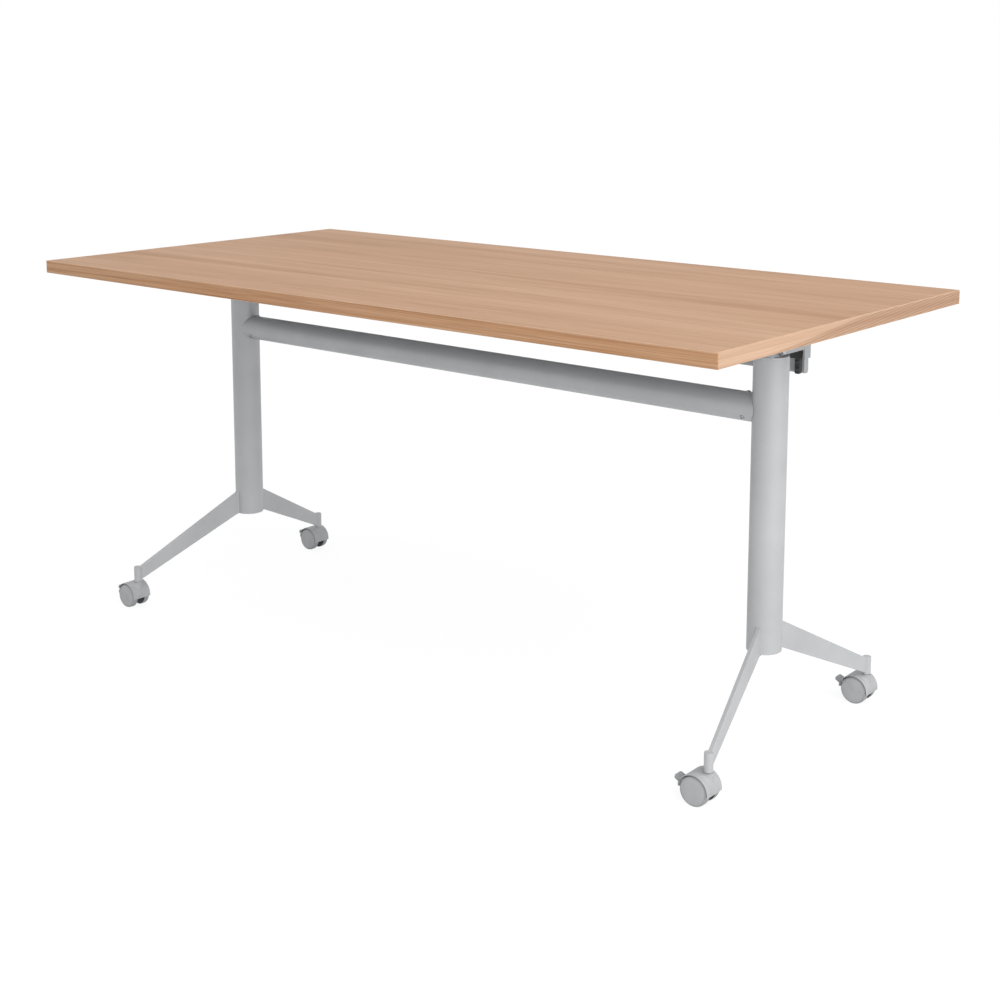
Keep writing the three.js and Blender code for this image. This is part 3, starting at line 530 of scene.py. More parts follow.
def as_piece(bm, name, body, slot, stands_for=None, finish=None, more_finishes=()):
    """Makes a finished piece of a bmesh. More finishes serve faces with a material index.
    A piece given no body is not attached to one."""
    bmesh.ops.remove_doubles(bm, verts=bm.verts, dist=MERGE)
    bmesh.ops.recalc_face_normals(bm, faces=bm.faces)
    mesh = bpy.data.meshes.new(name)
    bm.to_mesh(mesh)
    bm.free()
    for used in (finish or slot, *more_finishes):
        mesh.materials.append(finishes[used])
    mesh.shade_smooth()
    mesh.set_sharp_from_angle(angle=SHADE_ANGLE)
    piece = bpy.data.objects.new(name, mesh)
    bpy.context.scene.collection.objects.link(piece)
    piece.modifiers.new("flat_faces", "WEIGHTED_NORMAL").keep_sharp = True
    if body:
        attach(piece, body)
    if stands_for:
        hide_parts(stands_for)
    return piece


def block(bm, low, high):
    """A box between two corners."""
    place = Matrix.Translation((low + high) / 2) @ Matrix.Diagonal((*(high - low), 1))
    bmesh.ops.create_cube(bm, size=1, matrix=place)


def solid_copy(node):
    """A frame solid as a bmesh, with its loose triangles welded and its flat faces joined."""
    bm = bmesh.new()
    bm.from_mesh(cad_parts[node].data)
    bmesh.ops.remove_doubles(bm, verts=bm.verts, dist=MERGE)
    bmesh.ops.dissolve_limit(bm, angle_limit=FLAT_ANGLE, verts=bm.verts, edges=bm.edges)
    return bm


def joined(bm, other):
    """Adds the faces of another bmesh to this one."""
    mesh = bpy.data.meshes.new("joined")
    other.to_mesh(mesh)
    other.free()
    bm.from_mesh(mesh)
    bpy.data.meshes.remove(mesh)


def edges_at(points):
    return list({edge for point in points for edge in point.link_edges})


def of_kind(kind, items):
    return [item for item in items if isinstance(item, kind)]


print("helpers for pieces ready")

# %% [markdown]
# ## Board and edge strips
# The board has its wood grain on top and a plain grey backing sheet below, so it needs two
# finishes: one for the whole box, and one for the face that looks down. A 2 mm strip is glued
# round it and the outer corners of the strip are scraped round, which is a bevel on the edges
# that stand outside. The rounded faces that look up or down are paler than the strip: a painted
# highlight where the light catches them.

# %% Board


def board():
    bm = bmesh.new()
    block(bm, *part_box("table_top"))
    bm.normal_update()
    for face in bm.faces:
        face.material_index = int(face.normal.z < -FACING)
    return as_piece(bm, "board", "top", "wood_face", "table_top", more_finishes=["backing_sheet"])


print("board:", board().data.materials.keys())

# %% Edge strips
STRIP_ROUND = 1.2 * MM
STRIP_STEPS = 3
UPRIGHT = 0.1  # a rounded face that leans less than this is an upright corner, and gets no painted highlight


def edge_strip(side, outward, finish):
    """A strip whose outer face looks along outward. The front and back strips end at the corners
    of the table, so their upright edges are rounded too."""
    node = f"edge_band_{side}"
    low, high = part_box(node)
    outer = max(low.dot(outward), high.dot(outward))
    bm = bmesh.new()
    block(bm, low, high)
    outside = [
        edge
        for edge in bm.edges
        if all(abs(v.co.dot(outward) - outer) < MERGE for v in edge.verts)
        and (outward.y or abs(edge.verts[0].co.z - edge.verts[1].co.z) < MERGE)
    ]
    corners = rounded(bm, outside, STRIP_ROUND, STRIP_STEPS)
    bm.normal_update()
    # Rounded faces that look up or down take the paler finish, a painted highlight.
    for face in corners:
        face.material_index = int(abs(face.normal.z) > UPRIGHT)
    return as_piece(bm, f"{side}_edge_strip", "top", "wood_edge", node, finish, ["painted_highlight_corner"])


edge_strip("front", Vector((0, -1, 0)), "wood_edge")
edge_strip("back", Vector((0, 1, 0)), "wood_edge")
edge_strip("left", Vector((-1, 0, 0)), "wood_end_edge")
edge_strip("right", Vector((1, 0, 0)), "wood_end_edge")
print("four edge strips, rounded by", STRIP_ROUND, "m")

# %% [markdown]
# ## Columns and beam
# The legs and the beam between them are drawn steel tube. A cylinder primitive has no wall, so
# the section of the wall is spun round the axis instead. The ends of the beam are cut to the
# curve of the columns: each end point slides along the tube until it meets the column.

# %% Turned pieces
AXIS = {"x": Vector((1, 0, 0)), "y": Vector((0, 1, 0)), "z": Vector((0, 0, 1))}
OUT = {"x": AXIS["y"], "y": AXIS["x"], "z": AXIS["x"]}  # where an outline's radius points
TURN_STEPS = 72
SMALL_STEPS = 40  # for pins, stems and hubs


def turned(bm, outline, centre, axis, steps=TURN_STEPS):
    """Spins an outline of (radius, along) points a full turn about an axis. It is closed, unless
    it starts and ends on the axis, where a closing edge would be left bare inside the piece."""
    centre = Vector(centre)
    points = [bm.verts.new(centre + OUT[axis] * r + AXIS[axis] * a) for r, a in outline]
    edges = [bm.edges.new(pair) for pair in zip(points, points[1:])]
    if outline[0][0] > 0:
        edges.append(bm.edges.new((points[-1], points[0])))
    bmesh.ops.spin(
        bm,
        geom=points + edges,
        cent=centre,
        axis=AXIS[axis],
        angle=2 * math.pi,
        steps=steps,
        use_merge=True,
    )
    bmesh.ops.remove_doubles(bm, verts=bm.verts, dist=MERGE)


def ring_section(inner, outer, start, end):
    return [(inner, start), (outer, start), (outer, end), (inner, end)]


def stepped(*steps):
    """Outline of a solid turned piece, from (radius, start, end) steps along its axis."""
    points = [(radius, end) for radius, *ends in steps for end in ends]
    return [(0, steps[0][1]), *points, (0, steps[-1][2])]


print("turned pieces have", TURN_STEPS, "or", SMALL_STEPS, "steps")

# %% Columns and beam
SIDES = ("left", "right")
COLUMN_WALL = 2.0 * MM
BEAM_WALL = 2.0 * MM
TUBE_EASE = 0.5 * MM
COPE_GAP = 0.3 * MM


def column(side):
    node = f"column_{side}"
    low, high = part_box(node)
    middle = middle_of(node)
    bm = bmesh.new()
    radius = half_size(node).y
    wall = ring_section(radius - COLUMN_WALL, radius, low.z, high.z)
    turned(bm, wall, (middle.x, middle.y, 0), "z")
    eased(bm, TUBE_EASE)
    return as_piece(bm, f"{side}_column", "frame", "silver_paint", node)


def cross_beam():
    low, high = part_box("beam")
    leg_x = middle_of("column_right").x
    reach = half_size("column_right").y + COPE_GAP
    bm = bmesh.new()
    radius = half_size("beam").z
    wall = ring_section(radius - BEAM_WALL, radius, low.x, high.x)
    turned(bm, wall, (0, 0, middle_of("beam").z), "x")
    for point in bm.verts:
        meets = leg_x - math.sqrt(reach**2 - point.co.y**2)
        point.co.x = math.copysign(meets, point.co.x)
    return as_piece(bm, "cross_beam", "frame", "silver_paint", "beam")


columns = [column(side) for side in SIDES]
beam = cross_beam()
print("columns and beam:", [len(p.data.polygons) for p in (*columns, beam)], "faces")

# %% [markdown]
# ## Feet
# Each foot is a flat steel bar, cut to a taper, welded to the column at one end and to a socket
# for the castor at the other. The bar starts as one face with four corners, which is extruded to
# its thickness. Near the column it is cut once more and spread, as the weld bead spreads it.

# %% Feet
ENDS = ("front", "back")
FOOT_THICKNESS = 7.0 * MM
FOOT_ROOT = (29.0 * MM, 164.0 * MM, 213.0 * MM)  # reach, lower and upper edge at the column
FOOT_TIP = (56.0 * MM, 84.0 * MM)  # lower and upper edge at the socket
FOOT_EASE = 0.8 * MM
WELD_SPREAD = 2.2 * MM
WELD_REACH = 5.0 * MM
SOCKET_RADIUS = 7.5 * MM
SOCKET_BORE = 5.8 * MM
SOCKET_SPAN = (56.0 * MM, 88.0 * MM)
SOCKET_CROWN = 2.0 * MM  # thickness of its closed top
SOCKET_SIDES = 48
SOCKET_EASE = 0.7 * MM


def foot_bar(length):
    """The tapered bar along X, spread where it is welded to the column."""
    reach, root_low, root_high = FOOT_ROOT
    tip_low, tip_high = FOOT_TIP
    corners = [(reach, root_low), (length, tip_low), (length, tip_high), (reach, root_high)]
    bm = bmesh.new()
    face = bm.faces.new([bm.verts.new((x, -FOOT_THICKNESS / 2, z)) for x, z in corners])
    pulled = bmesh.ops.extrude_face_region(bm, geom=[face])["geom"]
    far_side = of_kind(bmesh.types.BMVert, pulled)
    bmesh.ops.translate(bm, verts=far_side, vec=(0, FOOT_THICKNESS, 0))
    bmesh.ops.recalc_face_normals(bm, faces=bm.faces)
    eased(bm, FOOT_EASE)
    cut_at = Vector((reach + WELD_REACH, 0, 0))
    whole = bm.verts[:] + bm.edges[:] + bm.faces[:]
    bmesh.ops.bisect_plane(bm, geom=whole, plane_co=cut_at, plane_no=(1, 0, 0))
    for point in bm.verts:
        if point.co.x < reach + WELD_REACH / 2:
            point.co.y += math.copysign(WELD_SPREAD, point.co.y)
    return bm


def castor_socket(length):
    """The sleeve at the tip of the bar, open below and closed at its top."""
    bottom, top = SOCKET_SPAN
    bore = (SOCKET_BORE, top - SOCKET_CROWN, bottom)
    sleeve = bmesh.new()
    outline = stepped(bore, (SOCKET_RADIUS, bottom, top))
    turned(sleeve, outline, (length, 0, 0), "z", SOCKET_SIDES)
    eased(sleeve, SOCKET_EASE)
    return sleeve


def foot(end, side):
    root = Vector((middle_of(f"column_{side}").x, 0, 0))
    stem = middle_of(f"castor_{end}_{side}_stem")
    along = Vector((stem.x, stem.y, 0)) - root
    bm = foot_bar(along.length)
    joined(bm, castor_socket(along.length))
    turn = Matrix.Rotation(math.atan2(along.y, along.x), 4, "Z")
    bmesh.ops.transform(bm, matrix=Matrix.Translation(root) @ turn, verts=bm.verts)
    return as_piece(bm, f"{end}_{side}_foot", "frame", "silver_paint", f"foot_{end}_{side}")


feet = [foot(end, side) for end in ENDS for side in SIDES]
print("feet:", [piece.name for piece in feet])

# %% [markdown]
# ## Castor hoods
# The hood of a twin-wheel castor is one moulding: a curved shield over both wheels, a web between
# them, a hub for the axle and a neck that takes the stem. The shield and the web are sections
# swept part of a turn round the axle. The neck begins as a ring of points that is extruded down
# in steps. Each step widens a little, so that the neck flows into the shield without an edge. The
# web and the inside of the shield take a dark finish: painted shade, which darkens the gaps beside
# the wheels.

# %% Castor hood
AXLE_BACK = 15.0 * MM  # from the stem to the axle
AXLE_HEIGHT = 25.0 * MM
HOOD_INNER = 26.2 * MM
HOOD_OUTER = 27.7 * MM
HOOD_HALF = 21.4 * MM
HOOD_LIP = 0.8 * MM  # the flat of its rim
HOOD_SHOULDER = (1.3 * MM, 0.4 * MM)  # over the inside, and in from the rim
HOOD_INSET = 1.5 * MM  # from the rim to the full outer radius
HOOD_FROM = math.radians(-7)
HOOD_TO = math.radians(148)
WEB_HALF = 8.5 * MM
CHEEK_INNER = 5.3 * MM  # the pedal's arm swings between the two cheeks
CHEEK_FROM = math.radians(112)
HUB_RADIUS = 9.0 * MM
AXLE_BORE = 4.3 * MM
NECK_TOP = 54.4 * MM
NECK_RADIUS = 8.0 * MM
NECK_FOOT = 11.2 * MM  # radius where it meets the shield
NECK_LEAN = 2.4 * MM  # by so much less in front, and more behind
NECK_FLARE = 2.5  # the higher, the later it widens
NECK_SINK = 0.8 * MM
CHEEK_STEPS = 10
NECK_STEPS = 9
NECK_SIDES = 48
SWEEP_STEPS = 44


def swept(bm, section, axle, start, end, steps=SWEEP_STEPS):
    """Sweeps a section of (radius, across) points round the axle, from one angle to another."""
    out = Vector((math.cos(start), 0, math.sin(start)))
    points = [bm.verts.new(axle + out * r + AXIS["y"] * y) for r, y in section]
    face = bm.faces.new(points)
    bmesh.ops.spin(
        bm,
        geom=[face],
        cent=axle,
        axis=-AXIS["y"],
        angle=end - start,
        steps=steps,
    )


def shield_section():
    """Section of the hood's wall, with rounded shoulders beside the wheels."""
    rise, inset = HOOD_SHOULDER
    half = [
        (HOOD_INNER, 0),
        (HOOD_INNER + HOOD_LIP, 0),
        (HOOD_INNER + rise, inset),
        (HOOD_OUTER, HOOD_INSET),
    ]
    left = [(r, y - HOOD_HALF) for r, y in half]
    right = [(r, HOOD_HALF - y) for r, y in reversed(half)]
    return left + right


def neck(bm, stem):
    """A ring at the top of the neck, drawn down and out until it meets the shield."""
    ring = bmesh.ops.create_circle(
        bm,
        cap_ends=True,
        segments=NECK_SIDES,
        radius=NECK_RADIUS,
        matrix=Matrix.Translation((stem.x, stem.y, NECK_TOP)),
    )["verts"]
    lip = edges_at(ring)
    for step in range(1, NECK_STEPS + 1):
        share = step / NECK_STEPS
        pulled = bmesh.ops.extrude_edge_only(bm, edges=lip)["geom"]
        lip = of_kind(bmesh.types.BMEdge, pulled)
        for point in of_kind(bmesh.types.BMVert, pulled):
            spoke = Vector((point.co.x - stem.x, point.co.y - stem.y, 0)).normalized()
            foot_radius = NECK_FOOT - NECK_LEAN * spoke.x
            radius = NECK_RADIUS + (foot_radius - NECK_RADIUS) * share**NECK_FLARE
            ahead = AXLE_BACK + foot_radius * spoke.x
            shield = AXLE_HEIGHT + math.sqrt(max(HOOD_OUTER**2 - ahead**2, 0))
            point.co = stem + spoke * radius
            point.co.z = NECK_TOP + (shield - NECK_SINK - NECK_TOP) * share
    bmesh.ops.contextual_create(bm, geom=lip)


def castor_core(axle, name, body):
    """The web and hub between the wheels, with two cheeks beside the pedal's arm."""
    bm = bmesh.new()
    web = ring_section(AXLE_BORE, HOOD_INNER, -WEB_HALF, WEB_HALF)
    swept(bm, web, axle, HOOD_FROM, CHEEK_FROM)
    for cheek in ((-WEB_HALF, -CHEEK_INNER), (CHEEK_INNER, WEB_HALF)):
        section = ring_section(HUB_RADIUS, HOOD_INNER, *cheek)
        swept(bm, section, axle, CHEEK_FROM, HOOD_TO, CHEEK_STEPS)
    turned(bm, ring_section(AXLE_BORE, HUB_RADIUS, -WEB_HALF, WEB_HALF), axle, "y", SMALL_STEPS)
    # The whole core takes the dark finish: painted shade between the wheels.
    return as_piece(bm, name, body, "grey_plastic", finish="core_plastic")


def axle_of(place):
    """The middle of a castor's axle, which trails behind its stem."""
    stem = middle_of(f"castor_{place}_stem")
    return Vector((stem.x - AXLE_BACK, stem.y, AXLE_HEIGHT))


def castor_hood(place):
    axle = axle_of(place)
    bm = bmesh.new()
    swept(bm, shield_section(), axle, HOOD_FROM, HOOD_TO)
    # The inside of the shield takes the dark finish: painted shade.
    for face in bm.faces:
        from_axle = face.calc_center_median() - axle
        face.material_index = int(math.hypot(from_axle.x, from_axle.z) < HOOD_INNER)
    neck(bm, Vector((axle.x + AXLE_BACK, axle.y, 0)))
    body, node = f"castor_{place}", f"castor_{place}_housing"
    castor_core(axle, f"{place}_castor_core", body)
    dark = ["core_plastic"]
    return as_piece(bm, f"{place}_castor_hood", body, "grey_plastic", node, more_finishes=dark)


PLACES = [f"{end}_{side}" for end in ENDS for side in SIDES]
hoods = [castor_hood(place) for place in PLACES]
print("castor hoods:", [len(piece.data.polygons) for piece in hoods], "faces")

# %% [markdown]
# ## Wheels, stems and brake pedals
# Each wheel is a cap pressed into a tyre: a broad tread under the hood, a soft shoulder, a groove
# and a face that swells a little towards the middle. One outline spun about the axle gives it all,
# and each face then takes a finish by its place: the cap's; the tyre's, a little darker, which is
# partly painted shade for the gap under the hood; or a dark finish on the inner side, which is
# painted shade. The stem with its thin flange is turned as well. The pedal is a copy of the
# frame's solid, with the corners of its tab rounded and all its edges eased for the shoe.

# %% Wheels
WHEEL_RADIUS = 25.0 * MM
WHEEL_INNER = 9.1 * MM
WHEEL_FACE = 22.0 * MM
BORE_END = 17.7 * MM
INNER_CHAMFER = 0.9 * MM
SHOULDER_LENGTH = 4.5 * MM  # along the axle
SHOULDER_DROP = 1.8 * MM  # of the radius
SHOULDER_STEPS = 7
GROOVE_OUTER = 22.3 * MM
GROOVE_INNER = 21.9 * MM
GROOVE_DEPTH = 0.4 * MM
FACE_RISE = 1.2 * MM  # how far the middle of the face stands out
FACE_STEPS = 6


def shoulder():
    """The soft curve from the tread to the face, a quarter of an ellipse."""
    turns = [math.pi / 2 * step / SHOULDER_STEPS for step in range(SHOULDER_STEPS + 1)]
    start = WHEEL_FACE - FACE_RISE - SHOULDER_LENGTH
    rim = WHEEL_RADIUS - SHOULDER_DROP
    return [(rim + SHOULDER_DROP * math.cos(t), start + SHOULDER_LENGTH * math.sin(t)) for t in turns]


def cap_face():
    """The face of the cap, from the groove to the middle."""
    shares = [1 - step / FACE_STEPS for step in range(FACE_STEPS + 1)]
    return [(GROOVE_INNER * s, WHEEL_FACE - FACE_RISE * s**2) for s in shares]


def wheel(place, end):
    side = -1 if end == "front" else 1
    axle = axle_of(place)
    rim = WHEEL_FACE - FACE_RISE
    outline = [
        (0, BORE_END),
        (AXLE_BORE, BORE_END),
        (AXLE_BORE, WHEEL_INNER),
        (WHEEL_RADIUS - INNER_CHAMFER, WHEEL_INNER),
        (WHEEL_RADIUS, WHEEL_INNER + INNER_CHAMFER),
        *shoulder(),
        (GROOVE_OUTER, rim),
        (GROOVE_OUTER, rim - GROOVE_DEPTH),
        (GROOVE_INNER, rim - GROOVE_DEPTH),
        *cap_face(),
    ]
    bm = bmesh.new()
    turned(bm, [(r, side * a) for r, a in outline], axle, "y")
    # The inner side of the wheel takes the dark finish: painted shade.
    for face in bm.faces:
        from_axle = face.calc_center_median() - axle
        if abs(from_axle.y) < WHEEL_INNER + MERGE:
            face.material_index = 2
        # The tread and shoulder take the tyre's tone, which is partly painted shade.
        elif math.hypot(from_axle.x, from_axle.z) > GROOVE_INNER:
            face.material_index = 1
    node = f"castor_{place}_wheel_{end}"
    more = ["tyre_rubber_and_painted_shade", "core_plastic"]
    return as_piece(bm, f"{place}_{end}_wheel", node, "wheel_plastic", node, more_finishes=more)


wheels = [wheel(place, end) for place in PLACES for end in ENDS]
print("wheels:", len(wheels), "of", len(wheels[0].data.polygons), "faces")

# %% Stems
STEM_RADIUS = 5.5 * MM
STEM_EASE = 0.2 * MM
FLANGE = (54.7 * MM, 55.7 * MM)


def stem_pin(place):
    node = f"castor_{place}_stem"
    low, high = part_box(node)
    middle = middle_of(node)
    outline = stepped(
        (STEM_RADIUS, low.z, FLANGE[0]),
        (SOCKET_RADIUS, *FLANGE),
        (STEM_RADIUS, FLANGE[1], high.z),
    )
    bm = bmesh.new()
    turned(bm, outline, (middle.x, middle.y, 0), "z", SMALL_STEPS)
    eased(bm, STEM_EASE)
    return as_piece(bm, f"{place}_castor_stem", "frame", "bright_steel", node)


stems = [stem_pin(place) for place in PLACES]
print("castor stems:", len(stems))

# %% Brake pedals
TAB_TIP = 3.0 * MM  # the end of the tab whose corners are rounded
TAB_CORNER = 3.5 * MM
TAB_STEPS = 5
PEDAL_EASE = 0.6 * MM


def pedal(place):
    node = f"castor_{place}_brake"
    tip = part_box(node)[0].x + TAB_TIP
    bm = solid_copy(node)
    corners = [
        edge
        for edge in bm.edges
        if all(point.co.x < tip for point in edge.verts)
        and abs(edge.verts[0].co.y - edge.verts[1].co.y) < MERGE
    ]
    rounded(bm, corners, TAB_CORNER, TAB_STEPS)
    eased(bm, PEDAL_EASE)
    return as_piece(bm, f"{place}_brake_pedal", node, "pedal_plastic", node)


pedals = [pedal(place) for place in PLACES]
print("brake pedals:", [len(piece.data.polygons) for piece in pedals], "faces")

# %% [markdown]
# ## Hinges and lock
# Under each end of the board a bracket folds round the head of the column. Copies of the frame's
# solids already have the right holes and walls, so they only get their edges eased, as a pressing
# or a casting has. Pins, bushes, bolts, plugs and axles are turned from a stepped outline, as on a
# lathe. The lock springs are wound: a circle of wire is spun round the bolt and moved along it at
# each step. Each spring is left where it is wound, on no body.

# %% Brackets, heads, levers and caps
PRESSED_EDGE = 0.5 * MM
CAST_EDGE = 0.6 * MM
LEVER_EDGE = 0.7 * MM
CAP_EDGE = 0.5 * MM


def eased_copy(node, name, body, slot, radius, finish=None):
    bm = solid_copy(node)
    eased(bm, radius)
    return as_piece(bm, name, body, slot, node, finish)


for side in SIDES:
    eased_copy(f"top_bracket_{side}", f"{side}_bracket", "top", "bracket_paint", PRESSED_EDGE)
    head, paint = f"pivot_head_{side}", "silver_paint"
    eased_copy(head, f"{side}_hinge_head", "frame", "cast_aluminium", CAST_EDGE, paint)
    eased_copy(f"release_lever_{side}", f"{side}_lever", "release", "black_plastic", LEVER_EDGE)
    eased_copy(f"release_bar_cap_{side}", f"{side}_bar_cap", "release", "grey_plastic", CAP_EDGE)
print("brackets, heads, levers and caps eased")

# %% Release bar
BAR_CORNER = 5.0 * MM
BAR_STEPS = 6
BAR_WALL = 1.5 * MM


def release_bar():
    low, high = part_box("release_bar")
    bm = bmesh.new()
    block(bm, low, high)
    ends = [face for face in bm.faces if abs(face.normal.x) > FACING]
    bmesh.ops.delete(bm, geom=ends, context="FACES_ONLY")
    lengthwise = [e for e in bm.edges if abs(e.verts[0].co.x - e.verts[1].co.x) > BAR_CORNER]
    rounded(bm, lengthwise, BAR_CORNER, BAR_STEPS)
    bmesh.ops.solidify(bm, geom=bm.faces[:], thickness=BAR_WALL)
    return as_piece(bm, "pull_bar", "release", "silver_paint", "release_bar")


bar = release_bar()
print("release bar:", len(bar.data.polygons), "faces")

# %% Hinge pins, bushes and lever pins
PIN_EASE = 0.6 * MM
PIN_RADIUS = 6.0 * MM
PIN_HEAD_THICKNESS = 3.0 * MM
BUSH_WALL = 2.7 * MM
LEVER_PIN_RADIUS = 3.0 * MM
RIVET_THICKNESS = 1.5 * MM


def turned_piece(node, name, body, slot, axis, outline):
    """Stands for a frame solid. Its outline runs along the axis from the middle of the solid."""
    bm = bmesh.new()
    turned(bm, outline, middle_of(node), axis, SMALL_STEPS)
    eased(bm, PIN_EASE)
    return as_piece(bm, name, body, slot, node)


def hinge_pin(side):
    node = f"hinge_pin_{side}"
    half = half_size(node)
    neck_at = half.x - PIN_HEAD_THICKNESS
    outline = stepped((PIN_RADIUS, -half.x, neck_at), (half.y, neck_at, half.x))
    outward = 1 if side == "right" else -1
    outline = [(radius, outward * along) for radius, along in outline]
    return turned_piece(node, f"{side}_hinge_pin", "top", "bright_steel", "x", outline)


def hinge_bush(side):
    node = f"pivot_bush_{side}"
    half = half_size(node)
    wall = ring_section(half.y - BUSH_WALL, half.y, -half.x, half.x)
    return turned_piece(node, f"{side}_hinge_bush", "frame", "bush_plastic", "x", wall)


def lever_pin(side):
    """A pin whose two ends are riveted over into rims."""
    node = f"lever_pin_{side}"
    half = half_size(node)
    rim_at = half.x - RIVET_THICKNESS
    outline = stepped(
        (half.z, -half.x, -rim_at),
        (LEVER_PIN_RADIUS, -rim_at, rim_at),
        (half.z, rim_at, half.x),
    )
    return turned_piece(node, f"{side}_lever_pin", "top", "bright_steel", "x", outline)


pins = [make(side) for side in SIDES for make in (hinge_pin, hinge_bush, lever_pin)]
print("pins and bushes:", [pin.name for pin in pins])

# %% Lock bolts, column plugs and castor axles
BOLT_RADIUS = 6.0 * MM
ROD_RADIUS = 4.0 * MM
COLLAR_THICKNESS = 3.0 * MM
COLLAR_TO_SPRING = 0.3 * MM
PULL_RADIUS = 6.5 * MM  # the head that the fork of the lever pulls
PULL_THICKNESS = 3.4 * MM
PLUG_RIM = 3.0 * MM
PLUG_DISH = 1.2 * MM


def lock_bolt(side):
    """From front to rear: the bolt, the collar that the spring pushes, the rod and the pulled head."""
    node = f"lock_bolt_{side}"
    half = half_size(node)
    spring_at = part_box(f"lock_spring_{side}")[0].y - middle_of(node).y
    rod_at = spring_at - COLLAR_TO_SPRING
    collar_at = rod_at - COLLAR_THICKNESS
    pull_at = half.y - PULL_THICKNESS
    outline = stepped(
        (BOLT_RADIUS, -half.y, collar_at),
        (half.x, collar_at, rod_at),
        (ROD_RADIUS, rod_at, pull_at),
        (PULL_RADIUS, pull_at, half.y),
    )
    return turned_piece(node, f"{side}_lock_bolt", node, "bright_steel", "y", outline)


def column_plug(side):
    """A plug with a shallow dish in its lower face."""
    node = f"column_plug_{side}"
    half = half_size(node)
    dish = (half.x - PLUG_RIM, PLUG_DISH - half.z, -half.z)
    outline = stepped(dish, (half.x, -half.z, half.z))
    return turned_piece(node, f"{side}_column_plug", "frame", "grey_plastic", "z", outline)


def castor_axle(place):
    node = f"castor_{place}_axle"
    half = half_size(node)
    outline = stepped((half.z, -half.y, half.y))
    return turned_piece(node, f"{place}_castor_axle", f"castor_{place}", "bright_steel", "y", outline)


bolts = [lock_bolt(side) for side in SIDES]
plugs = [column_plug(side) for side in SIDES]
axles = [castor_axle(place) for place in PLACES]
print("bolts, plugs and axles:", [piece.name for piece in (*bolts, *plugs, *axles)])

# %% Lock springs
SPRING_WIRE = 0.65 * MM  # radius of the wire
SPRING_CURLS = 4
CURL_STEPS = 28
WIRE_SIDES = 10


def lock_spring(side):
    node = f"lock_spring_{side}"
    half = half_size(node)
    coil = half.x - SPRING_WIRE
    travel = 2 * (half.y - SPRING_WIRE)
    front = middle_of(node) - AXIS["y"] * (travel / 2)
    steps = SPRING_CURLS * CURL_STEPS
    bm = bmesh.new()
    ring = bmesh.ops.create_circle(
        bm,
        segments=WIRE_SIDES,
        radius=SPRING_WIRE,
        matrix=Matrix.Translation(front + AXIS["x"] * coil),
    )["verts"]
    bmesh.ops.spin(
        bm,
        geom=ring + edges_at(ring),
        cent=front,
        axis=-AXIS["y"],
        dvec=AXIS["y"] * (travel / steps),
        angle=2 * math.pi * SPRING_CURLS,
        steps=steps,
    )
    rims = [edge for edge in bm.edges if edge.is_boundary]
    bmesh.ops.holes_fill(bm, edges=rims, sides=0)
    spring = as_piece(bm, f"{side}_lock_spring", None, "bright_steel", node)
    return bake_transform(spring)


springs = [lock_spring(side) for side in SIDES]
print("lock springs:", [len(piece.data.polygons) for piece in springs], "faces")

# %% [markdown]
# ## Screws
# Button-head screws hold the beam to its spigots, the brackets to the board and the levers to the
# bar. A ring of edges is drawn up and in to a dome, step by step. For the socket its points move
# out or in until they lie on the six flats of a hexagon, and that ring is then drawn down.

# %% Screw heads
SCREW_SIDES = 24
HEX_SHARE = 0.48  # flats of the socket, as a share of the head's radius
HEX_DEPTH = 0.55  # of the height of the head
SIXTH = math.pi / 3
DOME = [(1.0, 0.35), (0.92, 0.68), (0.74, 0.92), (0.56, 1.0)]  # shares of radius and height


def drawn(bm, lip, height, radius=None, flats=None):
    """Extrudes a ring of edges to a height, on a circle or on the six flats of a hexagon."""
    pulled = bmesh.ops.extrude_edge_only(bm, edges=lip)["geom"]
    for point in of_kind(bmesh.types.BMVert, pulled):
        angle = math.atan2(point.co.y, point.co.x)
        reach = radius or flats / math.cos(angle % SIXTH - SIXTH / 2)
        point.co = (reach * math.cos(angle), reach * math.sin(angle), height)
    return of_kind(bmesh.types.BMEdge, pulled)


def button_head(bm, place, outward, radius, height):
    """Adds a domed head whose underside lies at place, with a hexagon socket."""
    head = bmesh.new()
    ring = bmesh.ops.create_circle(head, cap_ends=True, segments=SCREW_SIDES, radius=radius)["verts"]
    lip = edges_at(ring)
    for share, rise in DOME:
        lip = drawn(head, lip, height * rise, radius=radius * share)
    for rise in (1, 1 - HEX_DEPTH):
        lip = drawn(head, lip, height * rise, flats=radius * HEX_SHARE)
    bmesh.ops.contextual_create(head, geom=lip)
    turn = Vector(outward).to_track_quat("Z", "Y").to_matrix().to_4x4()
    bmesh.ops.transform(head, matrix=Matrix.Translation(place) @ turn, verts=head.verts)
    joined(bm, head)


print("screw heads have", SCREW_SIDES, "sides")

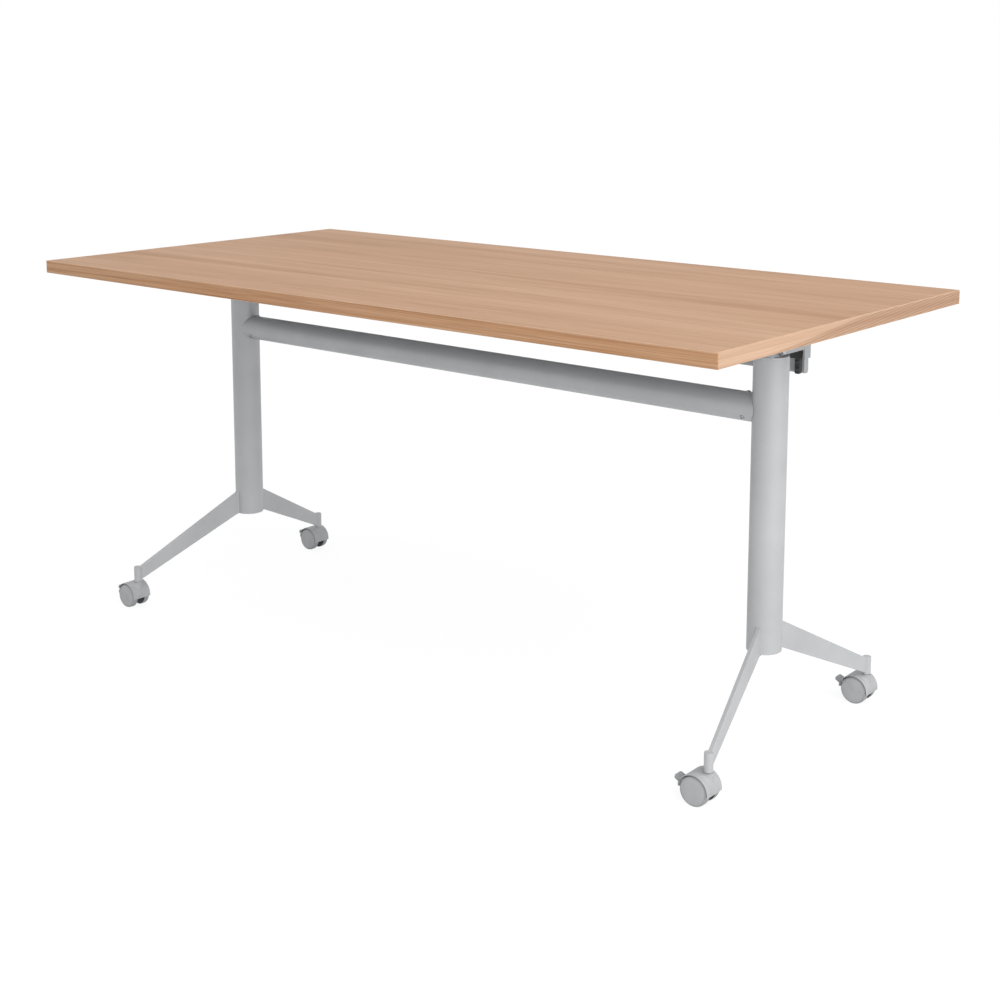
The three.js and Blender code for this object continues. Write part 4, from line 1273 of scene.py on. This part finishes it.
# %% Screws in their places
SINK = 0.2 * MM  # how far a head beds into what it holds
BEAM_SCREW = (4.2 * MM, 2.2 * MM)  # radius and height of the head
BEAM_SCREW_INSET = 42.0 * MM  # from the axis of the column
BEAM_SCREW_ANGLES = (0, 128, 232)  # degrees round the beam from its top
PLATE_SCREW = (4.6 * MM, 2.4 * MM)
PLATE_THICKNESS = 4.0 * MM
PLATE_SCREW_COLUMNS = (-31.0 * MM, 31.0 * MM)
PLATE_SCREW_ROWS = (-129.0 * MM, -43.0 * MM, 43.0 * MM, 129.0 * MM)
LEVER_SCREW = (3.4 * MM, 1.8 * MM)
LEVER_FRONT = 86.0 * MM  # the face of the lever that looks to the front
LEVER_SCREW_SHARES = (0.27, 0.73)  # of the height of the bar behind them


def beam_screws(side):
    inward = -1 if side == "right" else 1
    x = middle_of(f"column_{side}").x + inward * BEAM_SCREW_INSET
    centre = Vector((x, 0, middle_of("beam").z))
    radius = half_size("beam").z
    bm = bmesh.new()
    for angle in map(math.radians, BEAM_SCREW_ANGLES):
        way = Vector((0, -math.sin(angle), math.cos(angle)))
        button_head(bm, centre + way * (radius - SINK), way, *BEAM_SCREW)
    return as_piece(bm, f"{side}_beam_screws", "frame", "bright_steel", finish="beam_screws")


def plate_screws(side):
    bracket_x = middle_of(f"top_bracket_{side}").x
    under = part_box("table_top")[0].z - PLATE_THICKNESS + SINK
    bm = bmesh.new()
    for x in PLATE_SCREW_COLUMNS:
        for y in PLATE_SCREW_ROWS:
            button_head(bm, Vector((bracket_x + x, y, under)), (0, 0, -1), *PLATE_SCREW)
    return as_piece(bm, f"{side}_bracket_screws", "top", "bright_steel")


def lever_screws(side):
    x = middle_of(f"release_lever_{side}").x
    low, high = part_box("release_bar")
    bm = bmesh.new()
    for share in LEVER_SCREW_SHARES:
        z = low.z + (high.z - low.z) * share
        button_head(bm, Vector((x, LEVER_FRONT + SINK, z)), (0, -1, 0), *LEVER_SCREW)
    return as_piece(bm, f"{side}_lever_screws", "release", "bright_steel", finish="dark_screws")


screws = [make(side) for side in SIDES for make in (beam_screws, plate_screws, lever_screws)]
print("screws:", [piece.name for piece in screws])
